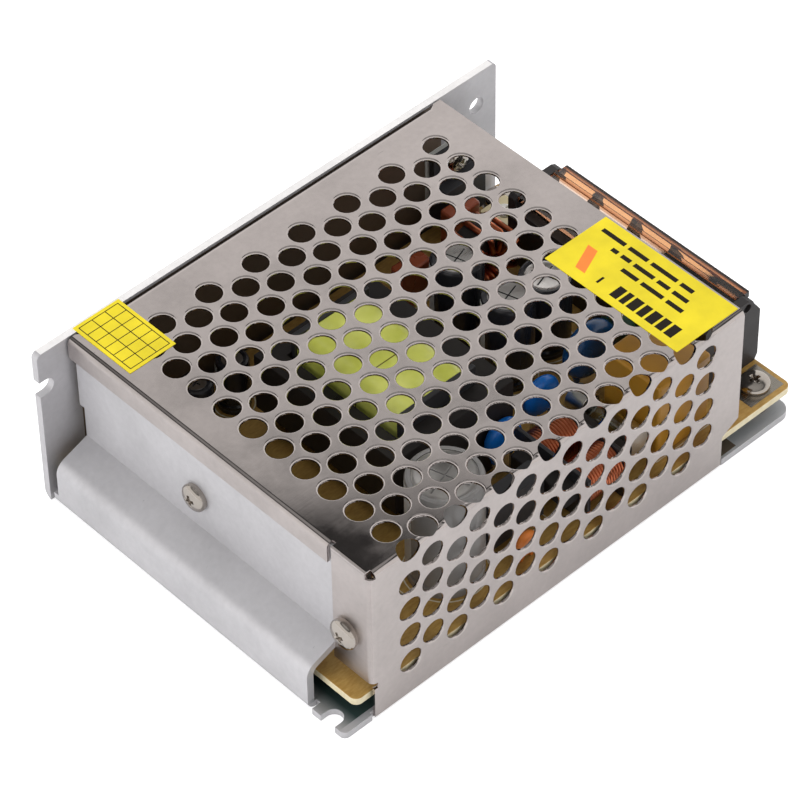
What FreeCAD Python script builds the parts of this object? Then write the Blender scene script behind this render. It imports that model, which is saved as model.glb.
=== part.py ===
import FreeCAD, Part
import math
import os
import Sketcher

os.makedirs("parts", exist_ok=True)
doc = FreeCAD.newDocument("mesh_case_power_supply")
vec = FreeCAD.Vector

# The frame: X along the case towards the terminals, Y towards the solid side wall, Z up.
# The origin is the middle of the base plate's underside. All sizes are in millimetres.

SIZES = {
    # chassis
    "case_length": 110.0, "case_width": 78.2, "case_height": 36.0, "sheet": 1.5, "bend_radius": 2.0,
    "end_wall_setback": 7.4, "end_foot_height": 10.3, "end_slant_top": 13.1, "foot_radius": 3.0,
    "end_wall_gap": 1.2, "end_step_height": 20.0, "end_step_depth": 1.2, "base_ear_width": 8.1,
    "base_ear_gap": 1.0, "flange_backing": 7.0, "flange_backing_low": 14.4, "ear_slot_radius": 1.75,
    "ear_slot_depth": 3.2, "base_slot_inset": 4.2, "side_slot_height": 27.7, "side_hole_height": 28.2,
    "side_hole_inset": 5.0, "side_hole_radius": 1.75, "ear_corner": 1.2, "base_corner": 2.5,
    # cover
    "cover_sheet": 0.6, "cover_bend": 1.2, "cover_start": 6.6, "cover_end": 14.6, "cover_far_gap": 0.4,
    "cover_low": 0.3, "far_lip_depth": 5.0, "far_lip_inset": 3.0, "end_lip_depth": 4.5, "flange_width": 9.4,
    "flange_low": 8.7, "lip_notch": 1.1, "corner_relief": 0.1, "side_cut_high": 9.6, "side_cut_low": 7.4,
    "side_cut_length": 4.0, "side_start_inset": 0.5, "cover_clearance": 0.2,
    # perforation
    "hole_radius": 2.38, "first_pair": 9.09, "pair_pitch": 10.9, "in_pair": 5.27, "row_pitch": 6.55,
    "first_row": 8.31, "side_first": 1.86, "side_pitch": 6.525, "fold_squash": 0.74,
    # screws
    "shank_radius": 1.45, "thread_play": 0.05, "screw_hole": 1.6, "cover_screw_inset": 5.95,
    "cover_screw_height": 17.75, "cover_head": 3.0, "cover_head_height": 2.1, "clamp_head": 2.75,
    "clamp_head_height": 1.9, "screw_length": 4.4, "recess_width": 0.8, "recess_length": 3.0,
    "recess_depth": 0.9, "transistor_y": 5.4, "transistor_hole": 20.6, "rectifier_x": 12.2,
    "rectifier_hole": 20.2, "nut_radius": 2.9, "nut_height": 2.2,
    # board
    "board_thickness": 1.6, "standoff_height": 3.1, "standoff_radius": 2.8, "neck_radius": 2.1,
    "neck_play": 0.05, "board_start": 3.7, "board_end": -0.75, "board_near": 1.1, "board_far": 2.5,
    "board_corner": 1.5, "stud_end_x": 4.3, "stud_start_x": 12.5, "stud_near_y": 5.6, "stud_far_y": 6.1,
    "stud_far_end_x": 3.4, "board_head": 3.0, "board_head_height": 1.9,
    # terminal block
    "block_front": -1.2, "block_back": 13.0, "block_near": 10.1, "cheek": 1.9, "barrier": 1.3,
    "pole_pitch": 9.5, "block_floor": 11.1, "barrier_front": 18.7, "barrier_top": 20.6, "barrier_rear": 19.4,
    "barrier_nose": 1.3, "barrier_dip": 3.5, "back_wall": 2.0, "block_toe": 1.4, "ear_front": 0.4,
    "ear_top": 22.6, "ear_round": 1.6, "latch_x": 2.3, "latch_z": 21.1, "latch_radius": 0.9,
    "latch_depth": 0.8, "plate_thickness": 0.9, "plate_gap": 0.4, "plate_front": 0.2, "plate_back": 10.0,
    "plate_leg": 0.9, "plate_leg_width": 3.0, "washer_size": 6.2, "washer_thickness": 0.8,
    "pole_screw_x": 5.4, "pole_head": 2.8, "pole_head_height": 1.9, "pole_screw_length": 4.6,
    # lid
    "lid_front": -0.2, "lid_back": 12.3, "lid_top": 22.4, "lid_thickness": 1.0, "lid_end_gap": 0.1,
    "lid_pin_x": 11.2, "lid_pin_z": 21.5, "lid_pin_radius": 0.6, "lid_pin_play": 0.06, "lid_pin_length": 1.3,
    "lid_rib_x": 2.9, "lid_rib_width": 0.8, "lid_rib_height": 0.35, "lid_lip": 0.8, "lid_lip_drop": 0.4,
    # transformer
    "core_x": 48.4, "core_y": 2.5, "core_z": 18.5, "core_width": 28.4, "core_length": 36.0,
    "core_depth": 13.0, "core_leg": 4.2, "core_middle": 4.5, "core_back": 4.0, "bobbin_play": 0.1,
    "bobbin_wall": 0.9, "bobbin_flange": 1.0, "flange_reach": 0.5, "winding_width": 17.0,
    "winding_height": 21.0, "winding_corner": 3.2, "rail_width": 20.0,
    # capacitors
    "bulk_x": 35.2, "bulk_y": 12.2, "bulk_radius": 7.0, "bulk_height": 24.0, "can_corner": 0.7,
    "can_dish": 0.25, "output_can_radius": 5.0, "output_can_height": 20.0, "can_a_x": 34.0,
    "can_a_y": 12.6, "can_b_x": 34.0, "can_b_y": -0.5, "can_c_x": 23.6, "can_c_y": 0.7,
    "can_c_height": 17.0, "small_can_radius": 3.15, "small_can_height": 11.5, "small_can_y": 10.9,
    "small_can_a_x": 35.6, "small_can_b_x": 27.0, "x_cap_x": 23.4, "x_cap_y": 11.9, "x_cap_length": 13.0,
    "x_cap_width": 13.6, "x_cap_height": 17.4, "film_length": 7.2, "film_width": 3.6, "film_height": 9.4,
    "film_a_x": 16.5, "film_a_y": 9.1, "film_b_x": 33.4, "film_b_y": 13.7, "box_corner": 0.6,
    # discs
    "disc_a_x": 39.4, "disc_a_y": 24.8, "disc_b_x": 58.6, "disc_gap": 0.2, "disc_radius": 4.2,
    "disc_thickness": 2.6, "disc_lift": 4.2, "varistor_x": 25.8, "varistor_y": 26.3,
    "varistor_radius": 6.0, "varistor_thickness": 4.2, "varistor_lift": 3.6, "thermistor_x": 16.8,
    "thermistor_y": 27.5, "thermistor_radius": 4.2, "thermistor_thickness": 3.2, "thermistor_lift": 3.0,
    "snub_x": 47.0, "snub_y": 4.5, "snub_radius": 2.6, "snub_thickness": 2.0, "snub_lift": 1.2,
    "wire_radius": 0.35, "leg_spread": 0.5,
    # fuse, choke, bridge
    "fuse_x": 33.2, "fuse_y": 14.3, "fuse_length": 16.4, "fuse_radius": 2.6, "fuse_cap_length": 4.0,
    "fuse_wall": 0.4, "fuse_play": 0.05, "fuse_height": 5.8, "choke_x": 45.0, "choke_y": 11.5,
    "choke_length": 16.8, "choke_bar": 3.4, "choke_spacing": 9.8, "choke_leg": 3.6, "choke_z": 12.8,
    "choke_tube": 0.7, "choke_flange": 0.8, "coil_radius": 4.2,
    "bridge_x": 49.4, "bridge_y": 10.7, "bridge_width": 12.8, "bridge_thickness": 4.2,
    "bridge_height": 10.4, "bridge_lift": 1.6,
    # output choke
    "toroid_x": 21.8, "toroid_y": 19.7, "toroid_radius": 6.4, "toroid_bore": 3.4, "toroid_height": 6.0,
    "toroid_wire": 1.2, "toroid_fit": 0.02,
    # clamped semiconductors
    "tab_width": 10.2, "tab_sheet": 1.3, "package_depth": 4.5, "package_height": 9.0,
    "package_drop": 3.2, "tab_rise": 3.0, "pad_sheet": 0.2, "pad_margin": 0.9, "lead_width": 0.8,
    "lead_pitch": 2.54,
    # small parts
    "chip_x": 45.4, "chip_y": 10.5, "chip_length": 9.6, "chip_width": 6.4, "chip_height": 3.4,
    "opto_x": 41.4, "opto_y": 18.9, "opto_length": 4.7, "leg_lift": 0.6, "leg_sheet": 0.3,
    "leg_width": 1.2, "trimmer_x": 8.1, "trimmer_y": 12.2, "trimmer_size": 6.6, "trimmer_height": 4.6,
    "rotor_radius": 1.7, "rotor_play": 0.06, "rotor_seat": 2.2, "rotor_rise": 0.5, "rotor_slot": 0.6,
    "led_x": 1.6, "led_y": 13.1, "led_radius": 1.5, "led_flange": 1.9, "led_height": 4.6,
    "resistor_x": 14.0, "resistor_y": 18.1, "resistor_step": 5.0, "resistor_radius": 1.6,
    "resistor_length": 8.0, "diode_x": 22.0, "diode_y": 9.0, "diode_step": 6.0, "diode_radius": 1.35,
    "diode_length": 5.2, "wire_reach": 1.8, "part_lift": 0.4,
    # labels
    "label_sheet": 0.12, "label_start": 30.2, "label_end": 15.0, "label_near": 1.3, "label_far": 33.45,
    "date_start": 9.0, "date_end": 19.4, "date_near": 15.7, "date_far": 0.5,
}
HOLE_SIDES = 8
POLES = 5

sheet = doc.addObject("Spreadsheet::Sheet", "Sizes")
for row, (alias, number) in enumerate(SIZES.items(), start=1):
    sheet.set("A%d" % row, alias)
    sheet.set("B%d" % row, str(number))
    sheet.setAlias("B%d" % row, alias)
doc.recompute()


class Size:
    """A number together with the sheet formula that it comes from."""

    def __init__(self, number, text):
        self.number = float(number)
        self.text = text

    def join(self, sign, left, right, number):
        return Size(number, "(%s %s %s)" % (formula(left), sign, formula(right)))

    def __add__(self, other):
        return self.join("+", self, other, self.number + float(other))

    def __radd__(self, other):
        return self.join("+", other, self, float(other) + self.number)

    def __sub__(self, other):
        return self.join("-", self, other, self.number - float(other))

    def __rsub__(self, other):
        return self.join("-", other, self, float(other) - self.number)

    def __mul__(self, other):
        return self.join("*", self, other, self.number * float(other))

    def __rmul__(self, other):
        return self.join("*", other, self, float(other) * self.number)

    def __truediv__(self, other):
        return self.join("/", self, other, self.number / float(other))

    def __neg__(self):
        return Size(-self.number, "(0 - %s)" % self.text)

    def __float__(self):
        return self.number


def formula(value):
    return value.text if isinstance(value, Size) else "(%r)" % float(value)


def size(alias):
    return Size(sheet.get(alias), "Sizes." + alias)


def bind(item, name, value):
    item.setExpression(name, formula(value))


def from_end(alias):
    """A place along the case, measured back from the terminal end."""
    return size("case_length") / 2 - size(alias)


def from_start(alias):
    """A place along the case, measured from the end opposite the terminals."""
    return size(alias) - size("case_length") / 2


def from_near(alias):
    """A place across the case, measured from the perforated side."""
    return size(alias) - size("case_width") / 2


def from_far(alias):
    """A place across the case, measured back from the solid side wall."""
    return size("case_width") / 2 - size(alias)


# Helpers for features on a body

def plane_of(body, role):
    return [item for item in body.Origin.OriginFeatures if item.Role == role][0]


def new_body(label):
    body = doc.addObject("PartDesign::Body", label)
    body.Label = label
    return body


def new_sketch(body, role, offset):
    sketch = body.newObject("Sketcher::SketchObject", body.Name + "_sketch")
    sketch.AttachmentSupport = [(plane_of(body, role), "")]
    sketch.MapMode = "FlatFace"
    bind(sketch, "AttachmentOffset.Base.z", offset)
    return sketch


def hold(sketch, kind, geometry, point, value):
    index = sketch.addConstraint(Sketcher.Constraint(kind, -1, 1, geometry, point, float(value)))
    sketch.setExpression("Constraints[%d]" % index, formula(value))


def rounded(points):
    """Turns corners given as (across, up, radius) into arcs between sides that lie along the axes."""
    path = []
    count = len(points)
    for step, point in enumerate(points):
        if len(point) == 2:
            path.append((point, None))
            continue
        across, up, radius = point
        ends = []
        for other in (points[step - 1], points[(step + 1) % count]):
            run = (float(other[0]) - float(across), float(other[1]) - float(up))
            long = math.hypot(*run)
            ends.append((across + radius * round(run[0] / long), up + radius * round(run[1] / long)))
        path.append((ends[0], (radius, across, up, ends)))
        path.append((ends[1], None))
    return path


def bend_arc(radius, across, up, ends):
    """The arc of a bend, and whether the outline runs along it from its start."""
    start, end = [vec(float(place[0]), float(place[1]), 0) for place in ends]
    middle = start + end - vec(float(across), float(up), 0)
    forward = (start - middle).cross(end - middle).z > 0
    first, last = (start, end) if forward else (end, start)
    turns = [math.atan2(place.y - middle.y, place.x - middle.x) for place in (first, last)]
    circle = Part.Circle(middle, vec(0, 0, 1), float(radius))
    return Part.ArcOfCircle(circle, turns[0], turns[1]), forward


def draw_outline(sketch, points):
    """A closed outline of lines and bends, each corner held by the sheet."""
    path = rounded(points)
    ends = []
    for step, (place, arc) in enumerate(path):
        here = vec(float(place[0]), float(place[1]), 0)
        after = path[(step + 1) % len(path)][0]
        forward = True
        if arc:
            edge, forward = bend_arc(*arc)
        else:
            edge = Part.LineSegment(here, vec(float(after[0]), float(after[1]), 0))
        number = sketch.addGeometry(edge, False)
        ends.append((number, 1, 2) if forward else (number, 2, 1))
        if arc:
            index = sketch.addConstraint(Sketcher.Constraint("Radius", number, float(arc[0])))
            sketch.setExpression("Constraints[%d]" % index, formula(arc[0]))
    for step, (number, start, end) in enumerate(ends):
        after = ends[(step + 1) % len(ends)]
        sketch.addConstraint(Sketcher.Constraint("Coincident", number, end, after[0], after[1]))
    for (place, arc), (number, start, end) in zip(path, ends):
        hold(sketch, "DistanceX", number, start, place[0])
        hold(sketch, "DistanceY", number, start, place[1])


def draw_circle(sketch, across, up, radius):
    circle = Part.Circle(vec(float(across), float(up), 0), vec(0, 0, 1), float(radius))
    index = sketch.addGeometry(circle, False)
    hold(sketch, "DistanceX", index, 3, across)
    hold(sketch, "DistanceY", index, 3, up)
    number = sketch.addConstraint(Sketcher.Constraint("Radius", index, float(radius)))
    sketch.setExpression("Constraints[%d]" % number, formula(radius))


def draw(sketch, shapes):
    for shape in shapes:
        if shape[0] == "circle":
            draw_circle(sketch, shape[1], shape[2], shape[3])
        else:
            draw_outline(sketch, shape)


def rectangle(low_x, high_x, low_y, high_y):
    return [(low_x, low_y), (high_x, low_y), (high_x, high_y), (low_x, high_y)]


def pad(body, role, low, high, *shapes):
    """Material between two levels along the plane's own axis."""
    offset = -high if role == "XZ_Plane" else low
    sketch = new_sketch(body, role, offset)
    draw(sketch, shapes)
    feature = body.newObject("PartDesign::Pad", body.Name + "_pad")
    feature.Profile = sketch
    bind(feature, "Length", high - low)
    return feature


def pocket(body, role, low, high, *shapes):
    """A cut between two levels along the plane's own axis."""
    offset = -low if role == "XZ_Plane" else high
    sketch = new_sketch(body, role, offset)
    draw(sketch, shapes)
    feature = body.newObject("PartDesign::Pocket", body.Name + "_pocket")
    feature.Profile = sketch
    bind(feature, "Length", high - low)
    return feature


def straight_edges(shape, axis, places, low, high):
    """Names of the edges along one axis that pass through the given places, between two levels."""
    names = []
    for number, edge in enumerate(shape.Edges, start=1):
        if len(edge.Vertexes) != 2:
            continue
        start = edge.Vertexes[0].Point
        run = edge.Vertexes[1].Point - start
        if abs(abs(run[axis]) - run.Length) > 1e-6 or run.Length < 1e-6:
            continue
        middle = start + run * 0.5
        if not low - 0.01 < middle[axis] < high + 0.01:
            continue
        across = [middle[other] for other in range(3) if other != axis]
        if any(abs(across[0] - float(u)) < 1e-3 and abs(across[1] - float(w)) < 1e-3 for u, w in places):
            names.append("Edge%d" % number)
    return names


def round_edges(body, radius, axis, places, low=-1000.0, high=1000.0):
    """Rounds the edges along one axis that pass through the given places, between two levels."""
    doc.recompute()
    base = body.Tip
    names = straight_edges(base.Shape, axis, places, float(low), float(high))
    if not names:
        raise RuntimeError("no edge to round on " + body.Label)
    feature = body.newObject("PartDesign::Fillet", body.Name + "_bend")
    feature.Base = (base, names)
    bind(feature, "Radius", radius)
    return feature


def repeat(body, cutter, role, count, pitch):
    """The same cut repeated along one axis."""
    pattern = body.newObject("PartDesign::LinearPattern", body.Name + "_row")
    pattern.Originals = [cutter]
    pattern.Refine = False
    pattern.Direction = (plane_of(body, role), [""])
    bind(pattern, "Length", pitch * (count - 1))
    pattern.Occurrences = count
    body.Tip = pattern
    return pattern


def repeat_body(body, role, count, pitch):
    """All that the body holds so far, repeated along one axis."""
    base = body.Tip
    pattern = body.newObject("PartDesign::LinearPattern", body.Name + "_strips")
    pattern.BaseFeature = base
    pattern.TransformMode = "Whole shape"
    pattern.Refine = False
    pattern.Direction = (plane_of(body, role), [""])
    bind(pattern, "Length", pitch * (count - 1))
    pattern.Occurrences = count
    body.Tip = pattern
    return pattern


# Helpers for plain pieces

nodes = []
TURNS = {"Z": (vec(0, 0, 1), 0.0), "X": (vec(0, 1, 0), 90.0), "-X": (vec(0, 1, 0), -90.0),
         "Y": (vec(1, 0, 0), -90.0), "-Y": (vec(1, 0, 0), 90.0)}


def keep(item):
    nodes.append(item)
    return item


def place(item, x, y, z, axis="Z"):
    item.Placement = FreeCAD.Placement(vec(0, 0, 0), FreeCAD.Rotation(*TURNS[axis]))
    bind(item, "Placement.Base.x", x)
    bind(item, "Placement.Base.y", y)
    bind(item, "Placement.Base.z", z)
    return item


def box(label, x, y, z):
    """A block between pairs of levels along X, Y and Z."""
    item = doc.addObject("Part::Box", label)
    item.Label = label
    for name, pair in zip(("Length", "Width", "Height"), (x, y, z)):
        bind(item, name, pair[1] - pair[0])
    return place(item, x[0], y[0], z[0])


def rod(label, x, y, z, radius, length, axis="Z"):
    """A cylinder that starts at the given point and runs along one axis."""
    item = doc.addObject("Part::Cylinder", label)
    item.Label = label
    bind(item, "Radius", radius)
    bind(item, "Height", length)
    return place(item, x, y, z, axis)


def pin(label, x, y, z, half, length):
    """An upright lead of square wire."""
    return box(label, span(x, half * 2), span(y, half * 2), (z, z + length))


def combine(kind, label, items):
    item = doc.addObject("Part::" + kind, label)
    item.Label = label
    if kind == "Compound":
        item.Links = items
    else:
        item.Shapes = items
    return item


def fuse(label, items):
    return combine("MultiFuse", label, items)


def group(label, items):
    return combine("Compound", label, items)


def cut(label, base, tool):
    item = doc.addObject("Part::Cut", label)
    item.Label = label
    item.Base = base
    item.Tool = tool
    return item


def span(middle, width):
    return (middle - width / 2, middle + width / 2)


def turned(label, profile, x, y, z, axis="Z"):
    """A turned piece; its profile is a list of (radius, height) corners."""
    body = new_body(label)
    sketch = new_sketch(body, "XZ_Plane", size("sheet") * 0)
    draw_outline(sketch, profile)
    feature = body.newObject("PartDesign::Revolution", label + "_turn")
    feature.Profile = sketch
    feature.ReferenceAxis = (sketch, ["V_Axis"])
    feature.Angle = 360.0
    return place(body, x, y, z, axis)


def block(label, x, y, z, corner):
    """A block with rounded upright edges."""
    body = new_body(label)
    pad(body, "XY_Plane", z[0], z[1], rectangle(x[0], x[1], y[0], y[1]))
    round_edges(body, corner, 2, [(x[0], y[0]), (x[1], y[0]), (x[1], y[1]), (x[0], y[1])])
    return body


def cross(length, width):
    long = length / 2
    thin = width / 2
    return [(-long, -thin), (-thin, -thin), (-thin, -long), (thin, -long), (thin, -thin), (long, -thin),
            (long, thin), (thin, thin), (thin, long), (-thin, long), (-thin, thin), (-long, thin)]


def screw(label, head, height, length, x, y, z, axis="Z"):
    """A cross recessed pan head screw, its head seated on the given point."""
    shank = size("shank_radius")
    zero = head * 0
    profile = [(zero, -length), (shank, -length), (shank, zero), (head, zero), (head, height * 0.5),
               (head * 0.68, height), (zero, height)]
    body = turned(label, profile, x, y, z, axis)
    recess = cross(size("recess_length"), size("recess_width"))
    pocket(body, "XY_Plane", height - size("recess_depth"), height + 1, recess)
    return body


# Levels and places that several pieces share

half_length = size("case_length") / 2
half_width = size("case_width") / 2
base_top = size("sheet") * 1
far_inner = half_width - size("sheet")
end_outer = size("end_wall_setback") - half_length
end_inner = end_outer + size("sheet")
wall_near = size("base_ear_width") + size("base_ear_gap") - half_width
wall_far = far_inner - size("end_wall_gap")
board_low = base_top + size("standoff_height")
board_top = board_low + size("board_thickness")
cover_near = -half_width
cover_near_inner = cover_near + size("cover_sheet")
cover_top_inner = size("case_height") - size("cover_sheet")
cover_far = far_inner - size("cover_far_gap")
cover_start = from_start("cover_start") * 1
cover_start_inner = cover_start + size("cover_sheet")
cover_end = from_end("cover_end") * 1
cover_screw_y = size("cover_screw_inset") - half_width
flange_far = cover_near + size("flange_width")
core_near = size("core_y") - size("core_length") / 2
strip_start = cover_start + size("first_pair") + size("in_pair") / 2 - size("pair_pitch") / 2
pairs = int(float(cover_end - size("side_cut_length") - strip_start) / float(size("pair_pitch")))
top_rows = 1 + int(float(cover_far - size("first_row") - cover_near - size("hole_radius")) / float(size("row_pitch")))
side_rows = int(float(size("case_height") - size("side_first") - size("side_cut_low")) / float(size("side_pitch")))
thread_hole = size("shank_radius") + size("thread_play")
pocket_width = size("pole_pitch") - size("barrier")
block_far = from_near("block_near") + size("pole_pitch") * POLES + size("cheek") * 2 - size("barrier")
first_pole = from_near("block_near") + size("cheek") + pocket_width / 2
plate_top = size("block_floor") + size("plate_thickness")
studs = [(from_end("stud_end_x"), from_near("stud_near_y")), (from_end("stud_far_end_x"), from_far("stud_far_y")),
         (from_start("stud_start_x"), from_near("stud_near_y")), (from_start("stud_start_x"), from_far("stud_far_y"))]


def pole_y(number):
    return first_pole + size("pole_pitch") * number


# The case

def chassis():
    """Base, far side wall and joggled end wall, folded from one sheet."""
    body = new_body("chassis")
    gauge = size("sheet")
    tall = size("case_height")
    zero = tall * 0
    section = [(-half_width, zero), (half_width, zero), (half_width, tall), (far_inner, tall),
               (far_inner, base_top), (-half_width, base_top)]
    pad(body, "YZ_Plane", -half_length, half_length, section)
    foot = size("end_foot_height")
    slant = size("end_slant_top")
    wall_top = cover_top_inner - size("cover_clearance")
    foot_inner = gauge - half_length
    wall = [(-half_length, zero), (-half_length, foot), (end_outer, slant), (end_outer, wall_top),
            (end_inner, wall_top), (end_inner, slant - gauge * 0.7), (foot_inner, foot - gauge * 0.7),
            (foot_inner, base_top), (foot_inner + 1, base_top), (foot_inner + 1, zero)]
    pad(body, "XZ_Plane", wall_near, wall_far, wall)
    backing = rectangle(end_outer, end_inner, size("flange_backing_low"), wall_top)
    pad(body, "XZ_Plane", wall_near - size("flange_backing"), wall_near, backing)
    near_relief = rectangle(-half_length - 1, foot_inner + 0.5, wall_near - size("base_ear_gap"), wall_near)
    far_relief = rectangle(-half_length - 1, foot_inner + 0.5, wall_far, far_inner - 0.05)
    cover_seat = rectangle(cover_start - 0.2, cover_end - size("side_cut_length") + 0.2, -half_width - 1,
                           cover_near_inner)
    pocket(body, "XY_Plane", zero - 1, base_top + 1, near_relief)
    pocket(body, "XY_Plane", zero - 1, base_top + 1, far_relief)
    pocket(body, "XY_Plane", zero - 1, base_top + 1, cover_seat)
    step = rectangle(wall_far - size("end_step_depth"), wall_far + 1, base_top + gauge,
                     size("end_step_height"))
    pocket(body, "YZ_Plane", -half_length - 1, end_inner + 1, step)
    slot_half = size("ear_slot_radius")
    slot_end = size("ear_slot_depth") - half_length - slot_half
    base_slot = size("base_slot_inset") - half_width
    pocket(body, "XY_Plane", zero - 1, base_top + 1,
           rectangle(-half_length - 1, slot_end, base_slot - slot_half, base_slot + slot_half))
    pocket(body, "XY_Plane", zero - 1, base_top + 1, ("circle", slot_end, base_slot, slot_half))
    side_slot = size("side_slot_height")
    pocket(body, "XZ_Plane", far_inner - 1, half_width + 1,
           rectangle(-half_length - 1, slot_end, side_slot - slot_half, side_slot + slot_half))
    pocket(body, "XZ_Plane", far_inner - 1, half_width + 1, ("circle", slot_end, side_slot, slot_half))
    ear_hole = ("circle", half_length - size("side_hole_inset"), size("side_hole_height"),
                size("side_hole_radius"))
    rectifier_thread = ("circle", from_end("rectifier_x"), size("rectifier_hole"), thread_hole)
    pocket(body, "XZ_Plane", far_inner - 1, half_width + 1, ear_hole, rectifier_thread)
    cover_thread = ("circle", cover_screw_y, size("cover_screw_height"), thread_hole)
    clamp_hole = ("circle", size("transistor_y"), size("transistor_hole"), size("screw_hole"))
    pocket(body, "YZ_Plane", end_outer - 1, end_inner + 1, cover_thread, clamp_hole)
    seat = size("neck_radius") + size("neck_play")
    pocket(body, "XY_Plane", zero - 1, base_top + 1, *[("circle", x, y, seat) for x, y in studs])
    round_edges(body, size("bend_radius"), 0, [(half_width, zero)])
    round_edges(body, size("bend_radius"), 1, [(-half_length, zero)], wall_near, wall_far)
    round_edges(body, size("foot_radius"), 1, [(-half_length, foot)])
    round_edges(body, size("foot_radius") / 2, 1, [(foot_inner, foot - gauge * 0.7)])
    round_edges(body, size("bend_radius"), 1, [(end_inner, slant - gauge * 0.7)], wall_near, wall_far)
    round_edges(body, size("ear_corner"), 1, [(half_length, tall), (-half_length, tall)])
    round_edges(body, size("base_corner"), 2, [(half_length, -half_width)])
    round_edges(body, size("ear_corner"), 2, [(-half_length, -half_width)])
    return keep(body)


def gon(across, up, radius, squash=1.0):
    """A many sided hole with a flat to each side."""
    points = []
    for number in range(HOLE_SIDES):
        turn = math.pi * (2 * number + 1) / HOLE_SIDES
        points.append((across + radius * math.cos(turn), up + radius * squash * math.sin(turn)))
    return points


def cover_section():
    """The folded sheet's section: near side, top and far lip."""
    bend = size("cover_bend")
    gauge = size("cover_sheet")
    top = size("case_height")
    low = size("cover_low")
    far_lip = top - size("far_lip_depth")
    return [(cover_near, low), (cover_near_inner, low), (cover_near_inner, cover_top_inner, bend - gauge),
            (cover_far - gauge, cover_top_inner, bend - gauge), (cover_far - gauge, far_lip),
            (cover_far, far_lip), (cover_far, top, bend), (cover_near, top, bend)]


def section_without_lip():
    """The folded sheet's section beyond both ends of the far lip."""
    bend = size("cover_bend")
    low = size("cover_low")
    top = size("case_height")
    return [(cover_near, low), (cover_near_inner, low),
            (cover_near_inner, cover_top_inner, bend - size("cover_sheet")), (cover_far, cover_top_inner),
            (cover_far, top), (cover_near, top, bend)]


def perforated_strips():
    """The middle of the cover: one strip with a pair of columns of holes, repeated along the case."""
    body = new_body("cover_strips")
    across = size("hole_radius")
    gauge = size("cover_sheet")
    top = size("case_height")
    first = cover_start + size("first_pair")
    second = first + size("in_pair")
    pad(body, "YZ_Plane", strip_start, strip_start + size("pair_pitch"), cover_section())
    rows = size("row_pitch")
    last = cover_far - size("first_row") - rows * (top_rows - 1)
    for x, y, count in ((second, last, top_rows), (first, last + rows / 2, top_rows - 1)):
        cutter = pocket(body, "XY_Plane", top - size("cover_bend") - gauge, top + 0.1, gon(x, y, across))
        repeat(body, cutter, "Y_Axis", count, rows)
    rows = size("side_pitch")
    lowest = top - size("side_first") - rows * (side_rows - 0.5)
    for x, z in ((second, lowest), (first, lowest - rows / 2)):
        cutter = pocket(body, "XZ_Plane", cover_near - 0.1, cover_near_inner + 0.1, gon(x, z, across))
        repeat(body, cutter, "Z_Axis", side_rows, rows)
    cutter = pocket(body, "XY_Plane", gauge * -4, gauge * 2,
                    gon(first, across * 0, across, size("fold_squash")))
    lean = cutter.Profile[0]
    lean.AttachmentOffset = FreeCAD.Placement(vec(0, 0, 0), FreeCAD.Rotation(vec(1, 0, 0), 45.0))
    bind(lean, "AttachmentOffset.Base.y", cover_near - gauge)
    bind(lean, "AttachmentOffset.Base.z", top + gauge)
    repeat_body(body, "X_Axis", pairs, size("pair_pitch"))
    return body


def folded_end():
    """The cover's screwed end: a lip along the top and a flange along the near side."""
    body = new_body("cover_folded_end")
    gauge = size("cover_sheet")
    bend = size("cover_bend")
    top = size("case_height")
    notch = bend + size("corner_relief")
    inset = cover_start + notch
    lip_start = cover_start + size("far_lip_inset")
    pad(body, "YZ_Plane", inset, lip_start, section_without_lip())
    pad(body, "YZ_Plane", lip_start, strip_start, cover_section())
    lip_low = top - size("end_lip_depth")
    fold = [(cover_start, lip_low), (cover_start_inner, lip_low),
            (cover_start_inner, cover_top_inner, bend - gauge), (inset, cover_top_inner), (inset, top),
            (cover_start, top, bend)]
    pad(body, "XZ_Plane", flange_far + size("lip_notch"), cover_far, fold)
    pad(body, "XY_Plane", cover_top_inner, top, rectangle(cover_start, inset, cover_near + notch, flange_far))
    flange = [(inset, cover_near), (inset, cover_near_inner),
              (cover_start_inner, cover_near_inner, bend - gauge), (cover_start_inner, flange_far),
              (cover_start, flange_far), (cover_start, cover_near, bend)]
    pad(body, "XY_Plane", size("flange_low"), top - notch, flange)
    pad(body, "XY_Plane", top - notch, cover_top_inner,
        rectangle(cover_start, cover_start_inner, cover_near + notch, flange_far))
    pad(body, "XZ_Plane", cover_near, cover_near_inner,
        rectangle(cover_start + size("side_start_inset"), inset, size("cover_low"), size("flange_low")))
    pocket(body, "YZ_Plane", cover_start - 1, cover_start_inner + 0.1,
           ("circle", cover_screw_y, size("cover_screw_height"), size("screw_hole")))
    return body


def terminal_end():
    """The cover's open end above the terminals, with the side's lower corner cut off."""
    body = new_body("cover_terminal_end")
    low = size("cover_low")
    lip_end = cover_end - size("far_lip_inset")
    pad(body, "YZ_Plane", strip_start + size("pair_pitch") * pairs, lip_end, cover_section())
    pad(body, "YZ_Plane", lip_end, cover_end, section_without_lip())
    cut_start = cover_end - size("side_cut_length")
    pocket(body, "XZ_Plane", cover_near - 1, cover_near_inner + 0.1,
           [(cut_start, low - 1), (cover_end + 1, low - 1), (cover_end + 1, size("side_cut_high")),
            (cover_end, size("side_cut_high")), (cut_start, size("side_cut_low"))])
    return body


def mesh_cover():
    """Top, near side and lips, folded from one perforated sheet."""
    cover = fuse("mesh_cover", [perforated_strips(), folded_end(), terminal_end()])
    cover.Refine = False
    keep(cover)


def labels():
    top = size("case_height")
    paper = size("label_sheet")
    keep(box("cover_label", (from_end("label_start"), from_end("label_end")), (from_near("label_near"), from_near("label_far")),
             (top, top + paper)))
    keep(box("edge_label", (from_start("date_start"), from_start("date_end")), (from_far("date_near"), from_far("date_far")),
             (top, top + paper)))


# The board and its fixings

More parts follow.
